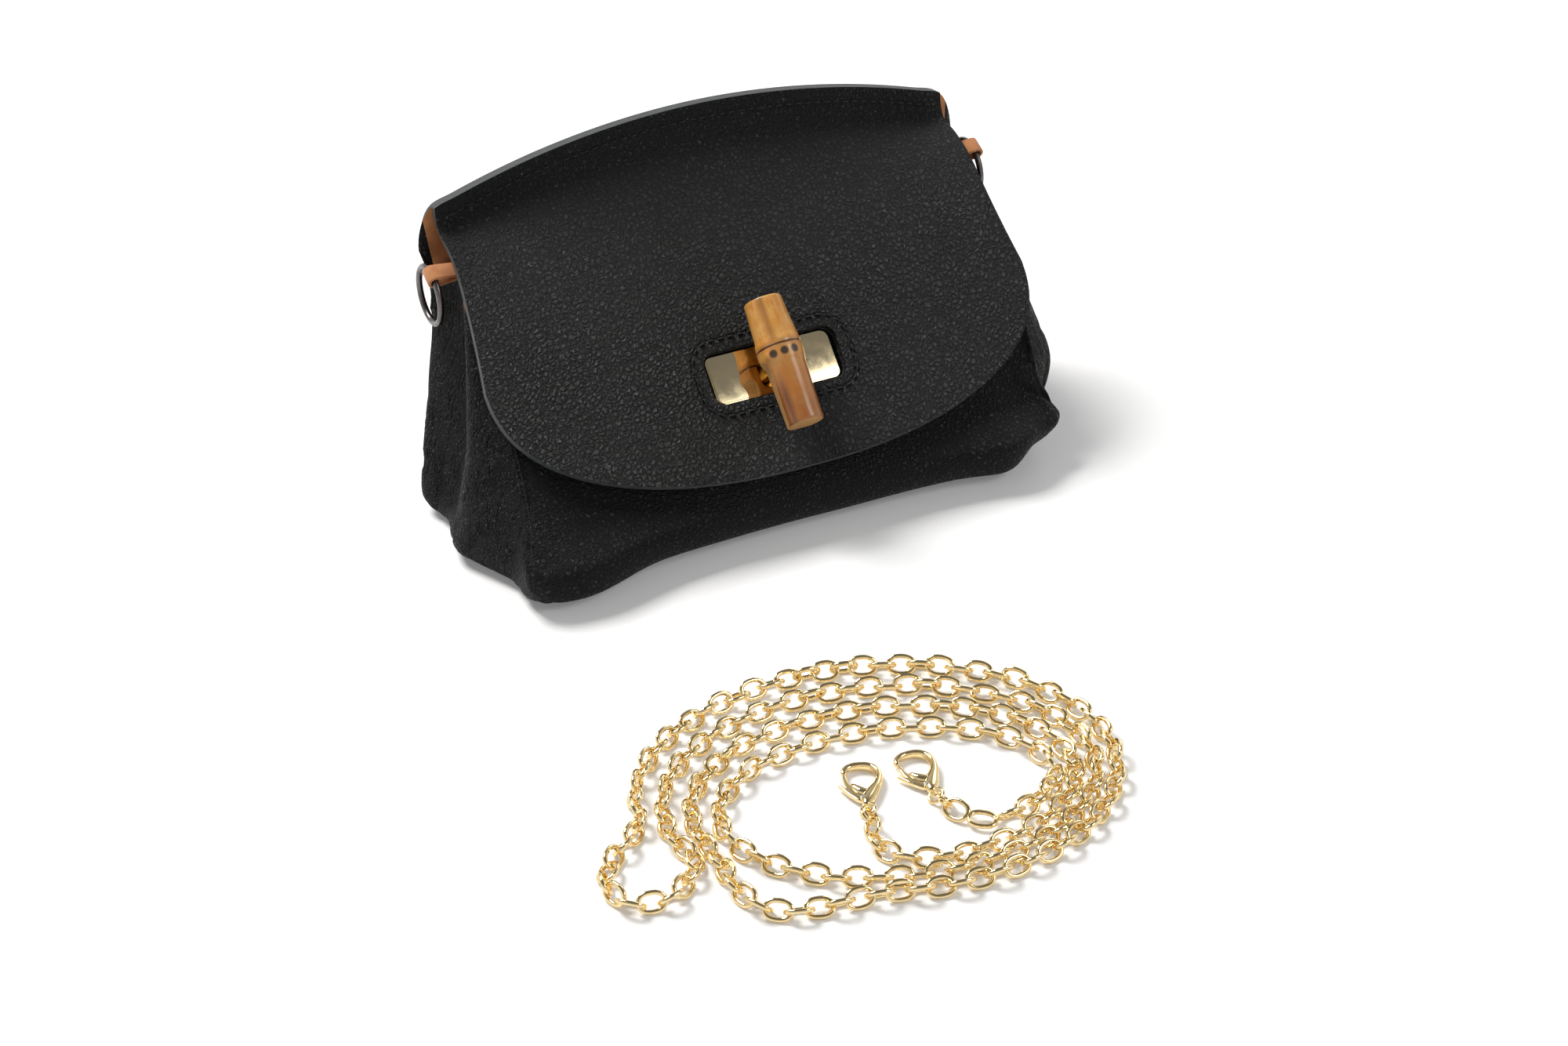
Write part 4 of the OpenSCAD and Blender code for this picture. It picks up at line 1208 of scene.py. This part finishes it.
def linkShape():
    # One oval link of soft-cornered wire, lying flat
    halfLong = (chain["length"] - chain["wire"]) / 2
    halfWide = (chain["width"] - chain["wire"]) / 2
    count, sides = chain["pathPoints"], chain["wireSides"]
    share = 2 / chain["round"]
    verts = []
    for i in range(count):
        a = 2 * math.pi * i / count
        cos, sin = math.cos(a), math.sin(a)
        centre = np.array([halfLong * math.copysign(abs(cos) ** share, cos),
                           halfWide * math.copysign(abs(sin) ** share, sin), 0])
        out = np.array([cos / halfLong, sin / halfWide, 0])
        out /= np.linalg.norm(out)
        for k in range(sides):
            b = 2 * math.pi * (k + 0.5) / sides
            flat = 2 / chain["squareness"]
            u, v = math.cos(b), math.sin(b)
            verts.append(centre + chain["wire"] / 2 * (
                math.copysign(abs(u) ** flat, u) * out + np.array([0, 0, math.copysign(abs(v) ** flat, v)])))
    return np.array(verts), loftFaces(count, sides, ring=True)


def chainStrap():
    shape, faces = linkShape()
    for nodeName in sorted(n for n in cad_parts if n.startswith("chain_links")):
        parts = []
        for solid in separateSolids(nodeName):
            middle, axes = ownAxes(solid)
            turn = np.array(Matrix.Rotation(math.radians(rng.gauss(0, chain["roll"])), 3, "X")
                            @ Matrix.Rotation(math.radians(rng.gauss(0, chain["yaw"])), 3, "Z"))
            link = shape @ turn.T @ axes.T + middle
            link[:, 2] -= min(link[:, 2].min(), chain["sink"] * rng.random())
            parts.append((link, faces))
        verts, allFaces = joined(parts)
        piece = newPiece("chain" + nodeName[-1], verts, allFaces, ("gold",))
        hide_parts(nodeName)
        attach(piece, "strap")


chainStrap()

clasp = {
    "length": 23, "thick": 2.99, "eyeRadius": 2.093, "eyeWire": 1.0, "splitRadius": 2.6, "splitWire": 0.9,
    "splitStep": 0.8, "splitPoints": 97, "leverThick": 1.2, "leverRound": 0.4,
    "eyeBand": 0.4, "eyeClear": 1.0, "collarAt": 0.85,
    "collar": [(0.75, 0), (0.95, 0.12), (0.95, 0.5), (0.8, 0.62), (1.0, 0.75), (0.9, 1.15)],
    # Ring round the hole, from the hook's tip over the top and down to the body and up its left:
    # place of the middle of the section, half its width and half its thickness, as shares of the length
    "hook": [
        (-0.178, 0.665, 0.026, 0.026), (-0.190, 0.70, 0.036, 0.036), (-0.165, 0.762, 0.040, 0.044),
        (-0.092, 0.806, 0.040, 0.052), (0.0, 0.815, 0.038, 0.056), (0.092, 0.800, 0.040, 0.058),
        (0.170, 0.735, 0.040, 0.060), (0.203, 0.64, 0.040, 0.062), (0.196, 0.54, 0.044, 0.064),
        (0.155, 0.43, 0.056, 0.065), (0.105, 0.345, 0.072, 0.065), (0.06, 0.27, 0.086, 0.065),
        (0.025, 0.20, 0.084, 0.065), (0.005, 0.14, 0.066, 0.062), (0.0, 0.095, 0.050, 0.052),
        (0.0, 0.075, 0.036, 0.038)],
    "leftArm": [
        (0.03, 0.30, 0.05, 0.060), (-0.035, 0.34, 0.058, 0.062), (-0.085, 0.39, 0.05, 0.058),
        (-0.118, 0.44, 0.036, 0.048), (-0.128, 0.47, 0.02, 0.03)],
    "lever": [
        [-0.035, 0.145], [-0.1, 0.185], [-0.19, 0.3], [-0.285, 0.47], [-0.264, 0.49], [-0.195, 0.395],
        [-0.212, 0.5], [-0.218, 0.6], [-0.205, 0.675], [-0.168, 0.665], [-0.17, 0.6], [-0.155, 0.5],
        [-0.105, 0.38], [0.01, 0.24]],
}


def claspPlace(side):
    # The clasp's axis joins the two farthest points of its CAD solid; the eye is by the split ring
    body = cadPoints("clasp_body_" + side)[:, :2]
    ringMiddle = cadPoints("split_ring_" + side)[:, :2].mean(0)
    tip = body[np.argmax(np.linalg.norm(body - ringMiddle, axis=1))]
    for _ in range(4):
        foot = body[np.argmax(np.linalg.norm(body - tip, axis=1))]
        tip = body[np.argmax(np.linalg.norm(body - foot, axis=1))]
    ahead = (tip - foot) / np.linalg.norm(tip - foot)
    eye = foot + ahead * (clasp["eyeRadius"] + clasp["eyeWire"] / 2)
    turn = np.array([[ahead[1], ahead[0], 0], [-ahead[0], ahead[1], 0], [0, 0, 1]])
    return np.array([eye[0], eye[1], 0.0]), turn


def sectionTube(sections, length, sides=20):
    # A body lofted through elliptical sections along a curved middle line, lying flat
    line = smoothCurve([(x, y, w, t) for x, y, w, t in sections], 4) * length
    path, wide, thick = line[:, :2], line[:, 2], line[:, 3]
    ahead = unit(np.gradient(path, axis=0))
    side = np.column_stack([ahead[:, 1], -ahead[:, 0]])
    verts = []
    for i in range(len(path)):
        for k in range(sides):
            a = 2 * math.pi * k / sides
            u, v = math.cos(a), math.sin(a)
            u, v = math.copysign(abs(u) ** 0.9, u), math.copysign(abs(v) ** 0.9, v)
            flat = path[i] + side[i] * wide[i] * u
            verts.append((flat[0], flat[1], thick[i] * v))
    return np.array(verts), loftFaces(len(path), sides)


def torus(radius, wire, around=64, sides=16):
    a = np.linspace(0, 2 * math.pi, around, endpoint=False)
    path = np.column_stack([radius * np.cos(a), radius * np.sin(a), np.zeros(around)])
    return tube(path, wire / 2, sides, closed=True)


def lobsterClasp(side):
    place, turn = claspPlace(side)
    length = clasp["length"]
    middle = clasp["thick"] / 2

    def put(verts):
        return verts @ turn.T + place

    def eyeTilt():
        # The eye stands at half a right angle to the floor, as in the CAD
        body = cadPoints("clasp_body_" + side)
        local = (body - place) @ turn
        near = local[np.abs(local[:, 1]) < clasp["eyeBand"]]
        right, left = near[near[:, 0] > clasp["eyeClear"]], near[near[:, 0] < -clasp["eyeClear"]]
        return math.atan2(right[:, 2].mean() - left[:, 2].mean(), 2 * clasp["eyeRadius"])

    hook = sectionTube(clasp["hook"], length)
    arm = sectionTube(clasp["leftArm"], length)
    parts = [(put(v + (0, 0, middle)), f) for v, f in (hook, arm)]
    tilt = eyeTilt()
    eyeRise = clasp["eyeRadius"] * abs(math.sin(tilt)) + clasp["eyeWire"] / 2
    ring, ringFaces = torus(clasp["eyeRadius"], clasp["eyeWire"], 48, 14)
    roll = np.array([[math.cos(tilt), 0, -math.sin(tilt)], [0, 1, 0], [math.sin(tilt), 0, math.cos(tilt)]])
    parts.append((put(ring @ roll.T + (0, 0, eyeRise)), ringFaces))
    collar, collarFaces = revolve(clasp["collar"], 20)
    collar = collar[:, [0, 2, 1]] + (0, clasp["eyeRadius"] * clasp["collarAt"], middle)
    parts.append((put(collar), collarFaces))
    verts, faces = joined(parts)
    piece = newPiece("claspBody" + side.capitalize(), verts, faces, ("gold",))
    fixNormals(piece)
    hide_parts("clasp_body_" + side)
    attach(piece, "strap")

    outline = np.array(clasp["lever"]) * length
    half = clasp["leverThick"] / 2
    verts = put(np.array([(x, y, middle + z) for z in (-half, half) for x, y in outline]))
    lever = newPiece("claspLever" + side.capitalize(), verts, loftFaces(2, len(outline)), ("gold",))
    fixNormals(lever)
    roundEdges(lever, clasp["leverRound"], 4, 20)
    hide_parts("clasp_lever_" + side)
    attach(lever, "lever_" + side)


def splitRing(side):
    # Two turns of round wire, pressed together
    middle, axes = ownAxes(cadPoints("split_ring_" + side))
    a = np.linspace(0.3, 4 * math.pi - 0.3, clasp["splitPoints"])
    turns = (a / (2 * math.pi)) - 1.0
    rise = clasp["splitStep"] * np.clip(turns * 6, -0.5, 0.5)
    radius = clasp["splitRadius"]
    path = np.column_stack([radius * np.cos(a), radius * np.sin(a), rise])
    verts, faces = tube(path, clasp["splitWire"] / 2, 12)
    piece = newPiece("splitRing" + side.capitalize(), verts @ axes.T + middle, faces, ("gold",))
    fixNormals(piece)
    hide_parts("split_ring_" + side)
    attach(piece, "strap")


for side in ("left", "right"):
    lobsterClasp(side)
    splitRing(side)
print("chain strap made")

# Side rings and their tabs
sideRing = {
    "outer": 18.6, "wire": 1.9, "tabWide": 5, "tabThick": 0.8, "tabLeg": 11, "tabRound": 0.2, "tilt": 22,
    # Half the height between the tab's legs at shares of their length, and where they close under the fold
    "tabShape": [(1, 0.42), (0.6, 0.75)], "tabNeck": (2.6, 0.82),
}


def strapRing(side):
    low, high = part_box("ring_" + side)
    middle = np.array([(a + b) / 2 for a, b in zip(low, high)]) / mm
    verts, faces = torus((sideRing["outer"] - sideRing["wire"]) / 2, sideRing["wire"], 96, 20)
    piece = newPiece("strapRing" + side.capitalize(), verts[:, [2, 0, 1]] + middle, faces, ("gunmetal",))
    fixNormals(piece)
    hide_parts("ring_" + side)
    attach(piece, "ring_" + side)


def ringTab(side):
    # A strip of suede folded round the ring's wire, its two ends running in over the side panel
    sign = -1 if side == "left" else 1
    ringRadius = (sideRing["outer"] - sideRing["wire"]) / 2
    sag = ringRadius - math.sqrt(ringRadius ** 2 - (sideRing["tabWide"] / 2) ** 2)
    bore = sideRing["wire"] / 2 + sag + 0.1
    r = bore + sideRing["tabThick"] / 2
    low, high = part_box("tab_" + side)
    outward = (high[0] if sign > 0 else low[0]) / mm
    tilt = math.radians(sideRing["tilt"])
    middleX = outward - sign * (r + sideRing["tabThick"] / 2)
    boxMiddle = [(a + b) / 2 / mm for a, b in zip(low, high)]
    neck, narrow = sideRing["tabNeck"]
    leg = [(-sideRing["tabLeg"] * share, high) for share, high in sideRing["tabShape"]]
    leg.append((-neck, r * narrow))
    fold = [(r * math.cos(math.radians(a)), r * math.sin(math.radians(a))) for a in range(100, -101, -10)]
    line = smoothCurve(leg + fold + [(x, -y) for x, y in leg[::-1]], 2)
    ahead = unit(np.gradient(line, axis=0))
    out = np.column_stack([-ahead[:, 1], ahead[:, 0]])
    half = sideRing["tabThick"] / 2
    wide = sideRing["tabWide"] / 2
    rings = []
    for p, n in zip(line, out):
        corners = []
        for u, v in ((1, 1), (-1, 1), (-1, -1), (1, -1)):
            flat = p + n * half * u
            corners.append((sign * flat[0], v * wide, flat[1]))
        rings.append(corners)
    verts = np.array(rings).reshape(-1, 3)
    turn = np.array(Matrix.Rotation(tilt, 3, "X"))
    verts = verts @ turn.T + (middleX, boxMiddle[1], boxMiddle[2])
    piece = newPiece("ringTab" + side.capitalize(), verts, loftFaces(len(rings), 4), ("suede",))
    fixNormals(piece)
    roundEdges(piece, sideRing["tabRound"], 2, 50)
    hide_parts("tab_" + side)
    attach(piece, "pouch")


for side in ("left", "right"):
    strapRing(side)
    ringTab(side)
print("rings and tabs made")

# Divider and card pockets
inside = {
    "thick": 1.0, "tilt": 7.4, "placeShare": 0.054, "height": 54, "cardWide": 98, "pocketRound": 4,
    "pocketHeights": (0.82, 0.62), "lift": 1.7, "sideStep": 1.0, "edgeRound": 0.25,
    "sewnFromEdge": 1.6, "sewnFromTop": 2, "sewnCorner": 4, "sewnCut": 1.2,
    "edge": [[0, 0.855], [0.07, 0.91], [0.2, 0.925], [0.45, 0.9], [0.75, 0.845], [1, 0.785]],
}


def dividerFrame():
    return np.array(Matrix.Translation((0, inside["placeShare"] * pouch["depth"], inside["lift"]))
                    @ Matrix.Rotation(math.radians(90 - inside["tilt"]), 4, "X"))


def sheetPiece(name, outline, low, thick, replaced, sewn):
    turn, count = dividerFrame(), len(outline)
    verts = placed(turn, [(x, y, z) for z in (low, low + thick) for x, y in outline])
    piece = newPiece(name, verts, loftFaces(2, count), ("suede", "rawEdge"), [1] * count + [0, 0])
    fixNormals(piece)
    roundEdges(piece, inside["edgeRound"], 2, 50)
    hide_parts(replaced)
    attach(piece, "pouch")
    if sewn:
        points = placed(turn, [(x, y, low) for x, y in sewn])
        verts, faces = stitchRow(points, np.tile(-turn[:3, 2], (len(points), 1)))
        threads = newPiece(name + "Stitches", verts, faces, ("thread",))
        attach(threads, "pouch")


def insideLeather():
    edge = smoothCurve([(x * halfWidth - pouch["wall"], h * inside["height"]) for h, x in inside["edge"]], 4)
    outline = np.vstack([edge, edge[::-1] * (-1, 1)])
    sheetPiece("dividerLeather", outline, 0.0, inside["thick"], "divider", [])
    for level, node in enumerate(("card_pocket_tall", "card_pocket_short")):
        height = inside["pocketHeights"][level] * inside["height"]
        loop = roundedLoop(inside["cardWide"], height, inside["pocketRound"])
        loop += (0, height / 2 + inside["sideStep"])
        off = inside["sewnFromEdge"]
        x, low = inside["cardWide"] / 2 - off, inside["sideStep"] + off
        top = inside["sideStep"] + height - inside["sewnFromTop"]
        corner, cut = inside["sewnCorner"], inside["sewnCut"]
        right = [(x, top), (x, low + corner), (x - cut, low + cut), (x - corner, low)]
        sewn = [(-across, up) for across, up in right] + right[::-1]
        sheetPiece("cardPocket" + node.split("_")[-1].capitalize(), loop,
                   -(level + 1) * (inside["thick"] + 0.05), inside["thick"], node, sewn)


insideLeather()
print("inside made")

# Finishes of the CAD's own metal
finishes = {
    "lock_spindle": "gold", "toggle_saddle": "gold", "lock_plate": "plateGold", "lock_backing": "steel",
    "spindle_clip": "steel", "toggle_screw": "steel", "clasp_pin_left": "steel", "clasp_pin_right": "steel",
}
for nodeName, finish in finishes.items():
    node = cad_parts[nodeName]
    node.data.materials.clear()
    node.data.materials.append(materials[finish])
print("metal dressed")
